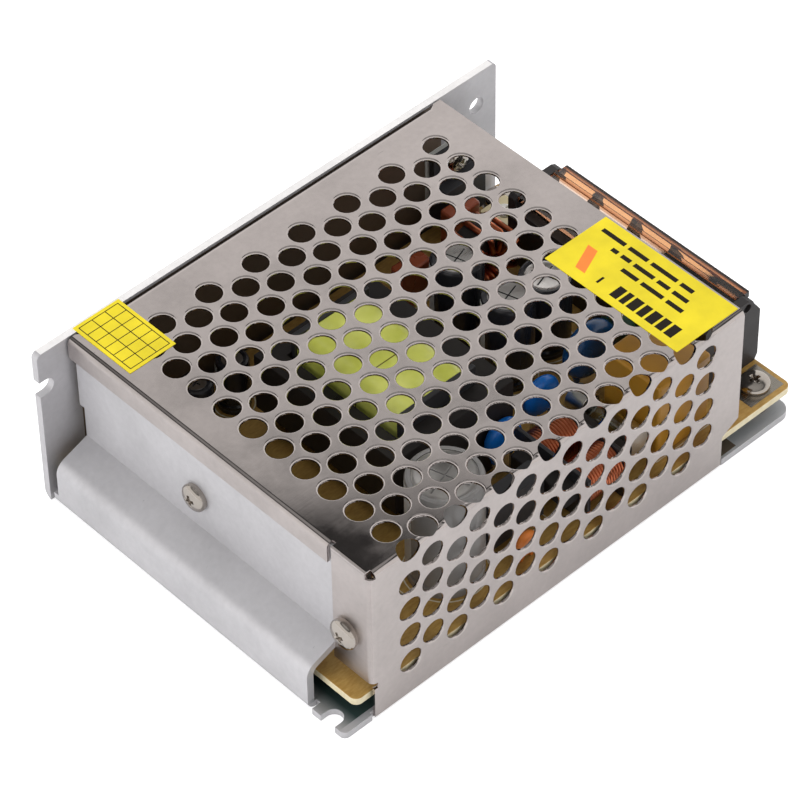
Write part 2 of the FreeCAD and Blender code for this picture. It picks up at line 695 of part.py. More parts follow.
def circuit_board():
    body = new_body("circuit_board")
    x = (from_start("board_start") * 1, from_end("board_end") * 1)
    y = (from_near("board_near") * 1, from_far("board_far") * 1)
    pad(body, "XY_Plane", board_low, board_top, rectangle(x[0], x[1], y[0], y[1]))
    pocket(body, "XY_Plane", board_low - 1, board_top + 1,
           *[("circle", across, up, size("screw_hole")) for across, up in studs])
    round_edges(body, size("board_corner"), 2, [(x[0], y[0]), (x[1], y[0]), (x[1], y[1]), (x[0], y[1])])
    return keep(body)


def fixings():
    neck = size("neck_radius")
    wide = size("standoff_radius")
    tall = size("standoff_height")
    low = size("sheet") * -0.9
    profile = [(thread_hole, low), (neck, low), (neck, low * 0), (wide, low * 0), (wide, tall),
               (thread_hole, tall)]
    posts = []
    screws = []
    for number, (x, y) in enumerate(studs):
        posts.append(turned("standoff_%d" % number, profile, x, y, base_top))
        screws.append(screw("board_screw_%d" % number, size("board_head"), size("board_head_height"),
                            size("board_thickness") + tall * 0.8, x, y, board_top))
    keep(group("board_standoffs", posts))
    keep(group("board_screws", screws))
    keep(screw("cover_screw", size("cover_head"), size("cover_head_height"), size("screw_length"),
               cover_start, cover_screw_y, size("cover_screw_height"), "-X"))
    clamp = size("clamp_head")
    height = size("clamp_head_height")
    stack = size("pad_sheet") + size("tab_sheet")
    through = size("sheet") + stack + size("nut_height")
    keep(group("clamp_screws", [
        screw("wall_screw", clamp, height, through, end_outer, size("transistor_y"),
              size("transistor_hole"), "-X"),
        screw("side_screw", clamp, height, stack + size("sheet") * 0.95, from_end("rectifier_x"),
              far_inner - stack, size("rectifier_hole"), "-Y")]))
    nut = new_body("clamp_nut")
    pad(nut, "YZ_Plane", end_inner + stack, end_inner + stack + size("nut_height"),
        [(size("transistor_y") + size("nut_radius") * math.cos(math.pi * k / 3),
          size("transistor_hole") + size("nut_radius") * math.sin(math.pi * k / 3)) for k in range(6)],
        ("circle", size("transistor_y"), size("transistor_hole"), thread_hole))
    keep(nut)


# Terminals

def terminal_block():
    """Floor, back wall, barriers and two eared cheeks, moulded in one piece."""
    body = new_body("terminal_block")
    front = from_end("block_front")
    back = from_end("block_back")
    floor = size("block_floor")
    rear = size("barrier_rear")
    toe = size("block_toe")
    wall = back + size("back_wall")
    near = from_near("block_near") * 1
    base = [(back, board_top), (front - toe / 2, board_top), (front, board_top + toe), (front, floor),
            (wall, floor), (wall, rear), (back, rear)]
    pad(body, "XZ_Plane", near, block_far, base)
    nose = front - size("barrier_nose")
    fin = [(wall, floor), (front, floor), (front, size("barrier_front")), (nose, size("barrier_top")),
           (front - size("barrier_dip"), rear), (wall, rear)]
    first = pole_y(0) + pocket_width / 2
    fin_pad = pad(body, "XZ_Plane", first, first + size("barrier"), fin)
    repeat(body, fin_pad, "Y_Axis", POLES - 1, size("pole_pitch"))
    ear_front = from_end("ear_front")
    top = size("ear_top")
    round_off = size("ear_round")
    cheek = [(back, floor), (front, floor), (front, size("barrier_front")), (nose, size("barrier_top")),
             (ear_front, size("barrier_top")), (ear_front, top - round_off),
             (ear_front - round_off / 3, top - round_off / 3),
             (ear_front - round_off, top), (back + round_off / 2, top), (back, top - round_off / 2)]
    for low, high in ((near, near + size("cheek")), (block_far - size("cheek"), block_far)):
        pad(body, "XZ_Plane", low, high, cheek)
    latch = ("circle", from_end("latch_x"), size("latch_z"), size("latch_radius"))
    pocket(body, "XZ_Plane", near - 1, near + size("latch_depth"), latch)
    pocket(body, "XZ_Plane", block_far - size("latch_depth"), block_far + 1, latch)
    pivot = ("circle", from_end("lid_pin_x"), size("lid_pin_z"), size("lid_pin_radius") + size("lid_pin_play"))
    inside = near + size("cheek")
    depth = size("lid_pin_length") + size("lid_end_gap")
    pocket(body, "XZ_Plane", inside - depth, inside + 0.5, pivot)
    pocket(body, "XZ_Plane", block_far - size("cheek") - 0.5, block_far - size("cheek") + depth, pivot)
    leg = size("plate_leg_width") / 2 + 0.1
    slot = pocket(body, "XY_Plane", board_top - 1, floor + 1,
                  rectangle(from_end("plate_back") - 0.1, from_end("plate_back") + size("plate_leg") + 0.1,
                            pole_y(0) - leg, pole_y(0) + leg))
    repeat(body, slot, "Y_Axis", POLES, size("pole_pitch"))
    hole = pocket(body, "XY_Plane", floor - size("pole_screw_length"), floor + 1,
                  ("circle", from_end("pole_screw_x"), pole_y(0), size("screw_hole")))
    repeat(body, hole, "Y_Axis", POLES, size("pole_pitch"))
    return keep(body)


def terminals():
    """Five tinned plates, square washers and screws."""
    floor = size("block_floor") * 1
    x = from_end("pole_screw_x") * 1
    half = pocket_width / 2 - size("plate_gap")
    leg = size("plate_leg_width") / 2
    plates = []
    washers = []
    screws = []
    for number in range(POLES):
        y = pole_y(number)
        back = from_end("plate_back") * 1
        flat = box("plate_%d" % number, (back, from_end("plate_front")), (y - half, y + half), (floor, plate_top))
        tail = box("tail_%d" % number, (back, back + size("plate_leg")), (y - leg, y + leg),
                   (board_top, floor))
        drill = rod("drill_%d" % number, x, y, floor - 1, thread_hole, size("plate_thickness") + 2)
        plates.append(cut("terminal_plate_%d" % number, fuse("bent_plate_%d" % number, [flat, tail]), drill))
        square = box("square_%d" % number, span(x, size("washer_size")), span(y, size("washer_size")),
                     (plate_top, plate_top + size("washer_thickness")))
        punch = rod("punch_%d" % number, x, y, plate_top - 1, size("screw_hole"),
                    size("washer_thickness") + 2)
        washers.append(cut("washer_%d" % number, square, punch))
        screws.append(screw("pole_screw_%d" % number, size("pole_head"), size("pole_head_height"),
                            size("pole_screw_length"), x, y, plate_top + size("washer_thickness")))
    keep(group("terminal_plates", plates))
    keep(group("clamp_washers", washers))
    keep(group("terminal_screws", screws))


def terminal_lid():
    """Clear flip lid that turns on two short pins."""
    body = new_body("terminal_lid")
    top = size("lid_top") * 1
    low = top - size("lid_thickness")
    front = from_end("lid_front")
    lip = front - size("lid_lip")
    drop = low - size("lid_lip_drop")
    rib = from_end("lid_rib_x")
    half = size("lid_rib_width") / 2
    rise = top + size("lid_rib_height")
    near = from_near("block_near") + size("cheek") + size("lid_end_gap")
    far = block_far - size("cheek") - size("lid_end_gap")
    section = [(from_end("lid_back"), low), (lip, low), (lip, drop), (front, drop), (front, top),
               (rib + half, top), (rib + half, rise), (rib - half, rise), (rib - half, top),
               (from_end("lid_back"), top)]
    pad(body, "XZ_Plane", near, far, section)
    pin = ("circle", from_end("lid_pin_x"), size("lid_pin_z"), size("lid_pin_radius"))
    pad(body, "XZ_Plane", near - size("lid_pin_length"), near + 0.5, pin)
    pad(body, "XZ_Plane", far - 0.5, far + size("lid_pin_length"), pin)
    return keep(body)


# Transformer

def transformer():
    x = from_start("core_x") * 1
    y = size("core_y") * 1
    z = size("core_z") * 1
    half = size("core_width") / 2
    back = size("core_back")
    end = size("core_length") / 2
    depth = size("core_depth")
    leg = size("core_leg")
    halves = []
    for number, sign in enumerate((-1, 1)):
        def along(near, far):
            return (y + near * sign, y + far * sign) if sign > 0 else (y - far, y - near)
        parts = [box("core_back_%d" % number, (x - half, x + half), along(end - back, end), span(z, depth))]
        for side, low in enumerate((x - half, x + half - leg)):
            parts.append(box("core_leg_%d_%d" % (number, side), (low, low + leg),
                             along(end * 0, end - back), span(z, depth)))
        start = along(end * 0, end - back)[0]
        parts.append(rod("core_middle_%d" % number, x, start, z, size("core_middle"), end - back, "Y"))
        halves.append(fuse("core_half_%d" % number, parts))
    keep(group("transformer_core", halves))
    bore = size("core_middle") + size("bobbin_play")
    tube = bore + size("bobbin_wall")
    inner = end - back
    wide = size("winding_width") / 2
    high = size("winding_height") / 2
    bobbin = new_body("transformer_bobbin")
    pad(bobbin, "XZ_Plane", y - inner, y + inner, ("circle", x, z, tube))
    reach = size("flange_reach")
    flange = rectangle(x - wide - reach, x + wide + reach, z - high - reach / 2, z + high + reach / 2)
    rail = rectangle(x - size("rail_width") / 2, x + size("rail_width") / 2, board_top, z - depth / 2)
    for sign in (-1, 1):
        near, far = (inner - size("bobbin_flange"), inner * 1)
        low, high_y = (y + near, y + far) if sign > 0 else (y - far, y - near)
        pad(bobbin, "XZ_Plane", low, high_y, flange)
        low, high_y = (y + near, y + end) if sign > 0 else (y - end, y - near)
        pad(bobbin, "XZ_Plane", low, high_y, rail)
    pocket(bobbin, "XZ_Plane", y - inner - 1, y + inner + 1, ("circle", x, z, bore))
    keep(bobbin)
    winding = new_body("transformer_winding")
    stretch = inner - size("bobbin_flange")
    pad(winding, "XZ_Plane", y - stretch, y + stretch, rectangle(x - wide, x + wide, z - high, z + high),
        ("circle", x, z, tube + 0.02))
    round_edges(winding, size("winding_corner"), 1, [(x - wide, z - high), (x + wide, z - high),
                                                     (x + wide, z + high), (x - wide, z + high)])
    keep(winding)


# Capacitors

def can(label, x, y, radius, height):
    """A sleeved can with a rolled rim and a dished top."""
    corner = size("can_corner")
    dish = size("can_dish")
    zero = radius * 0
    profile = [(zero, zero), (radius - corner / 2, zero), (radius, corner / 2), (radius, height - corner),
               (radius - corner / 3, height - corner / 3), (radius - corner, height),
               (radius - corner * 2, height - dish), (zero, height - dish)]
    return turned(label, profile, x, y, board_top)


def capacitors():
    keep(can("bulk_capacitor", from_start("bulk_x"), from_near("bulk_y"), size("bulk_radius"), size("bulk_height")))
    wide = size("output_can_radius")
    tall = size("output_can_height")
    keep(group("output_capacitors", [
        can("output_can_a", from_end("can_a_x"), size("can_a_y"), wide, tall),
        can("output_can_b", from_end("can_b_x"), size("can_b_y"), wide, tall),
        can("output_can_c", from_end("can_c_x"), size("can_c_y"), wide, size("can_c_height"))]))
    wide = size("small_can_radius")
    tall = size("small_can_height")
    keep(group("small_capacitors", [
        can("small_can_a", from_start("small_can_a_x"), from_far("small_can_y"), wide, tall),
        can("small_can_b", from_start("small_can_b_x"), from_far("small_can_y"), wide, tall)]))
    corner = size("box_corner")
    keep(block("x_capacitor", span(from_end("x_cap_x"), size("x_cap_length")),
               span(from_near("x_cap_y"), size("x_cap_width")),
               (board_top, board_top + size("x_cap_height")), corner))
    level = (board_top, board_top + size("film_height"))
    keep(group("film_capacitors", [
        block("film_%s" % name, span(from_end("film_%s_x" % name), size("film_length")),
              span(from_far("film_%s_y" % name), size("film_width")), level, corner) for name in ("a", "b")]))


def disc(label, x, y, radius, thick, lift, along="Y"):
    """A dipped disc on two legs, its flat sides facing along one axis."""
    rim = thick / 4
    zero = thick * 0
    middle = board_top + lift + radius
    profile = [(zero, zero), (radius - rim, zero), (radius, rim), (radius, thick - rim),
               (radius - rim, thick), (zero, thick)]
    shift = thick / 2
    start_x = x if along == "Y" else x - shift
    start_y = y - shift if along == "Y" else y
    face = turned(label + "_face", profile, start_x, start_y, middle, along)
    legs = []
    for sign in (-1, 1):
        spread = radius * size("leg_spread") * sign
        foot_x = x + spread if along == "Y" else x
        foot_y = y if along == "Y" else y + spread
        legs.append(pin(label + "_leg%d" % sign, foot_x, foot_y, board_top, size("wire_radius"),
                        lift + radius / 2))
    return fuse(label, [face] + legs)


def discs():
    wide = size("disc_radius")
    thick = size("disc_thickness")
    lift = size("disc_lift")
    keep(group("y_capacitors", [
        disc("disc_a", from_end("disc_a_x"), from_near("disc_a_y"), wide, thick, lift),
        disc("disc_b", from_start("disc_b_x"), core_near - size("disc_gap") - size("disc_thickness") / 2, wide, thick, lift)]))
    keep(disc("varistor", from_end("varistor_x"), from_near("varistor_y"), size("varistor_radius"),
              size("varistor_thickness"), size("varistor_lift")))
    keep(disc("thermistor", from_end("thermistor_x"), from_near("thermistor_y"), size("thermistor_radius"),
              size("thermistor_thickness"), size("thermistor_lift"), "X"))
    keep(disc("disc_capacitor", from_start("snub_x"), from_near("snub_y"), size("snub_radius"), size("snub_thickness"),
              size("snub_lift")))


# Fuse, chokes and bridge

def fuse_link():
    """A glass tube between two capped ends that stand on wires."""
    x = from_end("fuse_x") * 1
    half = size("fuse_length") / 2
    z = board_top + size("fuse_height")
    outer = size("fuse_radius") * 1
    wall = size("fuse_wall")
    glass = outer - wall - size("fuse_play")
    reach = size("fuse_cap_length")
    zero = wall * 0
    length = half * 2 - wall * 2
    profile = [(glass - wall, zero), (glass, zero), (glass, length), (glass - wall, length)]
    keep(turned("fuse_tube", profile, x, from_near("fuse_y") - half + wall, z, "Y"))
    cup = [(zero, zero), (outer, zero), (outer, reach), (outer - wall, reach), (outer - wall, wall),
           (zero, wall)]
    ends = []
    for name, sign, axis in (("near", -1, "Y"), ("far", 1, "-Y")):
        y = from_near("fuse_y") + half * sign
        cap = turned("fuse_cup_" + name, cup, x, y, z, axis)
        wire = size("wire_radius") * 1
        leg = pin("fuse_leg_" + name, x, y - (wire + 1) * sign, board_top, wire,
                  size("fuse_height") - outer + wall / 2)
        ends.append(fuse("fuse_end_" + name, [cap, leg]))
    keep(group("fuse_caps", ends))


def line_choke():
    """A ring core of square section with a coil on each long side."""
    x = from_end("choke_x") * 1
    y = from_near("choke_y") * 1
    z = size("choke_z") * 1
    half = size("choke_length") / 2
    bar = size("choke_bar")
    leg = size("choke_leg")
    offset = size("choke_spacing") / 2
    core = new_body("choke_core")
    pad(core, "XY_Plane", z - leg / 2, z + leg / 2,
        rectangle(x - half, x + half, y - offset - leg / 2, y + offset + leg / 2),
        rectangle(x - half + bar, x + half - bar, y - offset + leg / 2, y + offset - leg / 2))
    keep(core)
    tube = leg / 2 + size("choke_tube")
    coil = size("coil_radius") * 1
    inner = half - bar
    flange = size("choke_flange")
    bobbin = new_body("choke_bobbin")
    coils = []
    hollow = []
    for sign in (-1, 1):
        middle = y + offset * sign
        pad(bobbin, "YZ_Plane", x - inner, x + inner,
            rectangle(middle - tube, middle + tube, z - tube, z + tube))
        hollow.append(rectangle(middle - leg / 2, middle + leg / 2, z - leg / 2, z + leg / 2))
        roll = new_body("coil_%s" % ("near" if sign < 0 else "far"))
        pad(roll, "YZ_Plane", x - inner + flange, x + inner - flange, ("circle", middle, z, coil),
            rectangle(middle - tube, middle + tube, z - tube, z + tube))
        coils.append(roll)
    cheek = rectangle(y - offset - coil, y + offset + coil, board_top, z + coil + 0.2)
    for low in (x - inner, x + inner - flange):
        pad(bobbin, "YZ_Plane", low, low + flange, cheek)
    pocket(bobbin, "YZ_Plane", x - inner - 1, x + inner + 1, *hollow)
    keep(bobbin)
    keep(group("choke_coils", coils))


def bridge_rectifier():
    x = from_start("bridge_x") * 1
    y = from_near("bridge_y") * 1
    low = board_top + size("bridge_lift")
    parts = [block("bridge_case", span(x, size("bridge_width")), span(y, size("bridge_thickness")),
                   (low, low + size("bridge_height")), size("box_corner"))]
    for number in range(4):
        place_x = x + size("lead_pitch") * 1.4 * (number - 1.5)
        parts.append(box("bridge_lead_%d" % number, span(place_x, size("lead_width")),
                         span(y, size("lead_width")), (board_top, low + 0.5)))
    keep(fuse("bridge_rectifier", parts))


def output_choke():
    """An upright ring core wound with heavy wire."""
    x = from_end("toroid_x") * 1
    y = from_far("toroid_y") * 1
    outer = size("toroid_radius") * 1
    bore = size("toroid_bore") * 1
    tall = size("toroid_height") * 1
    wire = size("toroid_wire") * 1
    z = board_top + outer + wire
    zero = tall * 0
    ring = [(bore, zero), (outer, zero), (outer, tall), (bore, tall)]
    core = turned("toroid_core", ring, x, y - tall / 2, z, "Y")
    keep(core)
    gap = size("toroid_fit")
    room = [(bore - gap, zero - gap), (outer + gap, zero - gap), (outer + gap, tall + gap),
            (bore - gap, tall + gap)]
    inside = turned("toroid_room", room, x, y - tall / 2, z, "Y")
    rolls = []
    count = 12
    for number in range(count):
        turn = doc.addObject("Part::Box", "turn_%d" % number)
        bind(turn, "Length", outer + wire - (bore - wire))
        bind(turn, "Width", tall + wire * 2)
        bind(turn, "Height", wire * 1.55)
        angle = 360.0 * number / count + 90.0 + 180.0 / count
        spin = math.radians(angle)
        start = bore - wire
        rise = wire * 1.55 / 2
        turn.Placement = FreeCAD.Placement(vec(0, 0, 0), FreeCAD.Rotation(vec(0, 1, 0), -angle))
        bind(turn, "Placement.Base.x", x + start * math.cos(spin) + rise * math.sin(spin))
        bind(turn, "Placement.Base.y", y - tall / 2 - wire)
        bind(turn, "Placement.Base.z", z + start * math.sin(spin) - rise * math.cos(spin))
        rolls.append(turn)
    keep(cut("toroid_winding", fuse("toroid_turns", rolls), inside))


# Clamped semiconductors

def package(label, along, middle, face, hole, sign):
    """A three lead package: a metal tab with a moulded body below its hole."""
    half = size("tab_width") / 2
    thin = size("tab_sheet")
    deep = size("package_depth")
    top = hole + size("tab_rise")
    body_top = hole - size("package_drop")
    low = body_top - size("package_height")

    def piece(name, first, second, depth_a, depth_b, z):
        depth = (face + depth_a, face + depth_b) if sign > 0 else (face - depth_b, face - depth_a)
        across = (middle + first, middle + second)
        return box(label + name, across, depth, z) if along == "X" else box(label + name, depth, across, z)

    tab = piece("_tab", -half, half, thin * 0, thin, (low, top))
    case = piece("_case", -half, half, thin * 0, deep, (low, body_top))
    parts = [tab, case]
    for number in range(3):
        place_at = size("lead_pitch") * (number - 1)
        thick = size("lead_width") / 2
        parts.append(piece("_lead%d" % number, place_at - thick, place_at + thick, deep * 0.55,
                           deep * 0.55 + 0.5, (board_top, low + 0.5)))
    whole = fuse(label + "_solid", parts)
    start = face - 1 if sign > 0 else face - thin - 1
    reach = thin + 2
    if along == "X":
        drill = rod(label + "_drill", middle, start, hole, size("screw_hole"), reach, "Y")
    else:
        drill = rod(label + "_drill", start, middle, hole, size("screw_hole"), reach, "X")
    return keep(cut(label, whole, drill))


def insulator(label, along, middle, face, hole, sign):
    body = new_body(label)
    half = size("tab_width") / 2 + size("pad_margin")
    low = hole - size("package_drop") - size("package_height") - size("pad_margin")
    high = hole + size("tab_rise") + size("pad_margin")
    thin = size("pad_sheet")
    plane = "XZ_Plane" if along == "X" else "YZ_Plane"
    start = face if sign > 0 else face - thin
    pad(body, plane, start, start + thin, rectangle(middle - half, middle + half, low, high),
        ("circle", middle, hole, size("screw_hole")))
    return keep(body)


def semiconductors():
    thin = size("pad_sheet")
    y = size("transistor_y") * 1
    hole = size("transistor_hole") * 1
    insulator("transistor_pad", "Y", y, end_inner, hole, 1)
    package("switch_transistor", "Y", y, end_inner + thin, hole, 1)
    x = from_end("rectifier_x") * 1
    hole = size("rectifier_hole") * 1
    insulator("rectifier_pad", "X", x, far_inner, hole, -1)
    package("output_rectifier", "X", x, far_inner - thin, hole, -1)


# Small parts

def legged(label, x, y, length, count):
    """A moulded body on two rows of flat legs."""
    wide = size("chip_width")
    low = board_top + size("leg_lift")
    body = block(label + "_body", span(x, length), span(y, wide), (low, low + size("chip_height")),
                 size("leg_sheet"))
    parts = [body]
    thin = size("leg_sheet")
    for number in range(count):
        middle = x + size("lead_pitch") * (number - (count - 1) / 2)
        for sign in (-1, 1):
            edge = y + wide / 2 * sign
            across = (edge, edge + thin) if sign > 0 else (edge - thin, edge)
            parts.append(box(label + "_leg%d_%d" % (number, sign), span(middle, size("leg_width")), across,
                             (board_top, low + size("chip_height") / 2)))
    return keep(fuse(label, parts))


def axial(label, x, y, radius, length):
    """A small round part that lies along Y on two bent wires."""
    z = board_top + radius + size("part_lift")
    wire = size("wire_radius") * 1
    reach = size("wire_reach")
    bead = rod(label + "_bead", x, y - length / 2, z, radius, length, "Y")
    run = box(label + "_run", span(x, wire * 2), span(y, length + reach * 2), span(z, wire * 2))
    legs = [pin(label + "_leg%d" % sign, x, y + (length / 2 + reach) * sign, board_top, wire,
                radius + size("part_lift") + wire) for sign in (-1, 1)]
    return fuse(label, [bead, run] + legs)


def small_parts():
    legged("control_chip", from_end("chip_x"), from_far("chip_y"), size("chip_length"), 4)
    legged("optocoupler", from_end("opto_x"), from_far("opto_y"), size("opto_length"), 2)
    keep(group("resistors", [
        axial("resistor_%d" % number, from_start("resistor_x") + size("resistor_step") * number, from_near("resistor_y"),
              size("resistor_radius"), size("resistor_length")) for number in range(3)]))
    keep(group("diodes", [
        axial("diode_%d" % number, from_start("diode_x") + size("diode_step") * number, size("diode_y"),
              size("diode_radius"), size("diode_length")) for number in range(2)]))
    x = from_end("trimmer_x") * 1
    y = from_far("trimmer_y") * 1
    high = board_top + size("trimmer_height")
    seat = high - size("rotor_seat")
    trimmer = block("trimmer_body", span(x, size("trimmer_size")), span(y, size("trimmer_size")),
                    (board_top, high), size("box_corner"))
    pocket(trimmer, "XY_Plane", seat, high + 1, ("circle", x, y, size("rotor_radius") + size("rotor_play")))
    keep(trimmer)
    round_part = size("rotor_radius") * 1
    tall = size("rotor_seat") + size("rotor_rise")
    zero = tall * 0
    rotor = turned("trimmer_rotor", [(zero, zero), (round_part, zero), (round_part, tall), (zero, tall)],
                   x, y, seat)
    pocket(rotor, "XY_Plane", tall - size("rotor_slot"), tall + 1,
           rectangle(-round_part - 1, round_part + 1, -size("rotor_slot") / 2, size("rotor_slot") / 2))
    keep(rotor)
    lens = size("led_radius") * 1
    rim = size("led_flange") * 1
    tall = size("led_height") * 1
    dome = [(zero, zero), (rim, zero), (rim, zero + 0.8), (lens, zero + 0.8), (lens, tall - lens * 0.8),
            (lens * 0.8, tall - lens * 0.3), (lens * 0.4, tall), (zero, tall)]
    keep(turned("status_led", dome, from_end("led_x"), from_far("led_y"), board_top))


chassis()
mesh_cover()
labels()
circuit_board()
fixings()
terminal_block()
terminals()
terminal_lid()
transformer()
capacitors()
discs()
fuse_link()
line_choke()
bridge_rectifier()
output_choke()
semiconductors()
small_parts()
doc.recompute()

faults = [item.Label for item in doc.Objects if "Invalid" in item.State or "Error" in item.State]
if faults:
    raise RuntimeError("features with faults: " + ", ".join(faults))
for item in nodes:
    if item.Shape.isNull() or not item.Shape.isValid():
        raise RuntimeError("no sound shape for " + item.Label)
    item.Shape.exportStep("parts/" + item.Label + ".step")
    print("%-22s %8.1f mm3 %3d solids" % (item.Label, item.Shape.Volume, len(item.Shape.Solids)))
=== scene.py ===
import math

import bmesh
import bpy
from mathutils import Matrix, Quaternion, Vector


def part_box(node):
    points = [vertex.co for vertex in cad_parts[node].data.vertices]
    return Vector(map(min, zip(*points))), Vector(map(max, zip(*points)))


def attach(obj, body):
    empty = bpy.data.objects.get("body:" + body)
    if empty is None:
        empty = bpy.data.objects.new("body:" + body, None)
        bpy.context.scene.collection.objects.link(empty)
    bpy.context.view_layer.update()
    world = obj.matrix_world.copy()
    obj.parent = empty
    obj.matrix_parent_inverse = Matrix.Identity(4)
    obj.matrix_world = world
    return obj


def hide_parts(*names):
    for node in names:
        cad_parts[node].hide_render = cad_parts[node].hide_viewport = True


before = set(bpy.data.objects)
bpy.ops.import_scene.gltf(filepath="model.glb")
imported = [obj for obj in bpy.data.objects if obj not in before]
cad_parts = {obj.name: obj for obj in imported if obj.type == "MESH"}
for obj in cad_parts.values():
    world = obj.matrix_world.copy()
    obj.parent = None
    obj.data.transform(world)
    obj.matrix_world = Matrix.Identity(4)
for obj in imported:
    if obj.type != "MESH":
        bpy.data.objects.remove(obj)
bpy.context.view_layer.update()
MM = 0.001
CLOSE = 0.01
MERGE = 0.000001


# Places that come from the model

def corners(node):
    """Low and high corners of a node, in millimetres."""
    low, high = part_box(node)
    return low / MM, high / MM


def solids(node):
    """Low and high corners, in millimetres, of each separate solid of a node."""
    bm = bmesh.new()
    bm.from_mesh(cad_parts[node].data)
    bmesh.ops.remove_doubles(bm, verts=bm.verts, dist=MERGE)
    waiting = set(bm.verts)
    found = []
    while waiting:
        queue = [waiting.pop()]
        places = []
        while queue:
            vert = queue.pop()
            places.append(tuple(vert.co / MM))
            for edge in vert.link_edges:
                other = edge.other_vert(vert)
                if other in waiting:
                    waiting.discard(other)
                    queue.append(other)
        found.append(tuple(Vector([limit(axis) for axis in zip(*places)]) for limit in (min, max)))
    bm.free()
    return sorted(found, key=lambda pair: (round(pair[0].x, 2), round(pair[0].y, 2)))


def middle(pair):
    """The point half way between two corners."""
    return (pair[0] + pair[1]) / 2


CHASSIS = corners("chassis")
COVER = corners("mesh_cover")
BOARD = corners("circuit_board")
TOP = COVER[1].z
BOARD_TOP = BOARD[1].z


# Finishes

def new_group(name, inputs, outputs):
    """An empty node group with the given sockets."""
    group = bpy.data.node_groups.new(name, "ShaderNodeTree")
    for label, kind, value in inputs:
        socket = group.interface.new_socket(label, in_out="INPUT", socket_type=kind)
        if value is not None:
            socket.default_value = value
    for label, kind in outputs:
        group.interface.new_socket(label, in_out="OUTPUT", socket_type=kind)
    return group, group.nodes.new("NodeGroupInput"), group.nodes.new("NodeGroupOutput")


def join(tree, start, end):
    tree.links.new(start, end)


def noise(tree, vector, scale, detail=4.0, roughness=0.55):
    """A noise value; its scale is a number or another node's output."""
    node = tree.nodes.new("ShaderNodeTexNoise")
    node.inputs["Detail"].default_value = detail
    node.inputs["Roughness"].default_value = roughness
    if isinstance(scale, (int, float)):
        node.inputs["Scale"].default_value = scale
    else:
        join(tree, scale, node.inputs["Scale"])
    join(tree, vector, node.inputs["Vector"])
    return node.outputs["Fac"]


def stretched(tree, vector, scale):
    """A place scaled along each axis, for grain that runs one way."""
    node = tree.nodes.new("ShaderNodeMapping")
    node.inputs["Scale"].default_value = scale
    join(tree, vector, node.inputs["Vector"])
    return node.outputs["Vector"]


def remap(tree, value, low, high, new_low, new_high):
    """Moves a value from one span to another and stops at the ends."""
    node = tree.nodes.new("ShaderNodeMapRange")
    join(tree, value, node.inputs["Value"])
    for label, number in (("From Min", low), ("From Max", high), ("To Min", new_low), ("To Max", new_high)):
        node.inputs[label].default_value = number
    return node.outputs["Result"]


def share(tree, value):
    """A noise value spread over 0 to 1."""
    return remap(tree, value, 0.3, 0.7, 0.0, 1.0)


def arithmetic(tree, kind, first, second):
    node = tree.nodes.new("ShaderNodeMath")
    node.operation = kind
    for socket, value in zip(node.inputs, (first, second)):
        if isinstance(value, (int, float)):
            socket.default_value = value
        else:
            join(tree, value, socket)
    return node.outputs[0]


def blend(tree, factor, first, second, kind="MIX"):
    node = tree.nodes.new("ShaderNodeMix")
    node.data_type = "RGBA"
    node.blend_type = kind
    for socket, value in ((node.inputs[0], factor), (node.inputs[6], first), (node.inputs[7], second)):
        if isinstance(value, (int, float)):
            socket.default_value = value
        elif isinstance(value, tuple):
            socket.default_value = (*value, 1.0)
        else:
            join(tree, value, socket)
    return node.outputs[2]


def bump(tree, height, strength, distance):
    """A normal from a height; the strength is another node's output."""
    node = tree.nodes.new("ShaderNodeBump")
    node.inputs["Distance"].default_value = distance
    join(tree, strength, node.inputs["Strength"])
    join(tree, height, node.inputs["Height"])
    return node.outputs["Normal"]


SURFACE = [("Colour", "NodeSocketColor"), ("Roughness", "NodeSocketFloat"), ("Normal", "NodeSocketVector")]


def sheet_metal_wear():
    """Rolling streaks, smudges and fine scuffs of handled sheet metal."""
    group, start, end = new_group("sheet_metal_wear", [
        ("Colour", "NodeSocketColor", (0.7, 0.7, 0.7, 1.0)), ("Dull", "NodeSocketFloat", 0.25),
        ("Streak", "NodeSocketFloat", 0.2), ("Relief", "NodeSocketFloat", 0.10)], SURFACE)
    place = group.nodes.new("ShaderNodeTexCoord").outputs["Object"]
    streaks = noise(group, stretched(group, place, (60.0, 2600.0, 2600.0)), 1.0, 3.0)
    smudge = noise(group, place, 55.0, 5.0, 0.6)
    speck = noise(group, place, 900.0, 2.0, 0.5)
    dark = remap(group, smudge, 0.35, 0.72, 1.0, 0.86)
    shade = arithmetic(group, "MULTIPLY", dark, remap(group, speck, 0.3, 0.7, 0.97, 1.03))
    scratch = noise(group, stretched(group, place, (150.0, 1100.0, 1100.0)), 1.0, 6.0, 0.7)
    shade = arithmetic(group, "MULTIPLY", shade, remap(group, scratch, 0.68, 0.73, 1.0, 0.74))
    tone = blend(group, 1.0, start.outputs["Colour"], shade, "MULTIPLY")
    rough = arithmetic(group, "ADD", start.outputs["Dull"], remap(group, smudge, 0.3, 0.75, -0.05, 0.12))
    lines = arithmetic(group, "MULTIPLY", remap(group, streaks, 0.3, 0.7, -0.5, 0.5), start.outputs["Streak"])
    rough = arithmetic(group, "ADD", rough, lines)
    join(group, tone, end.inputs["Colour"])
    join(group, rough, end.inputs["Roughness"])
    relief = bump(group, arithmetic(group, "ADD", streaks, speck), start.outputs["Relief"], 0.00003)
    join(group, relief, end.inputs["Normal"])
    return group


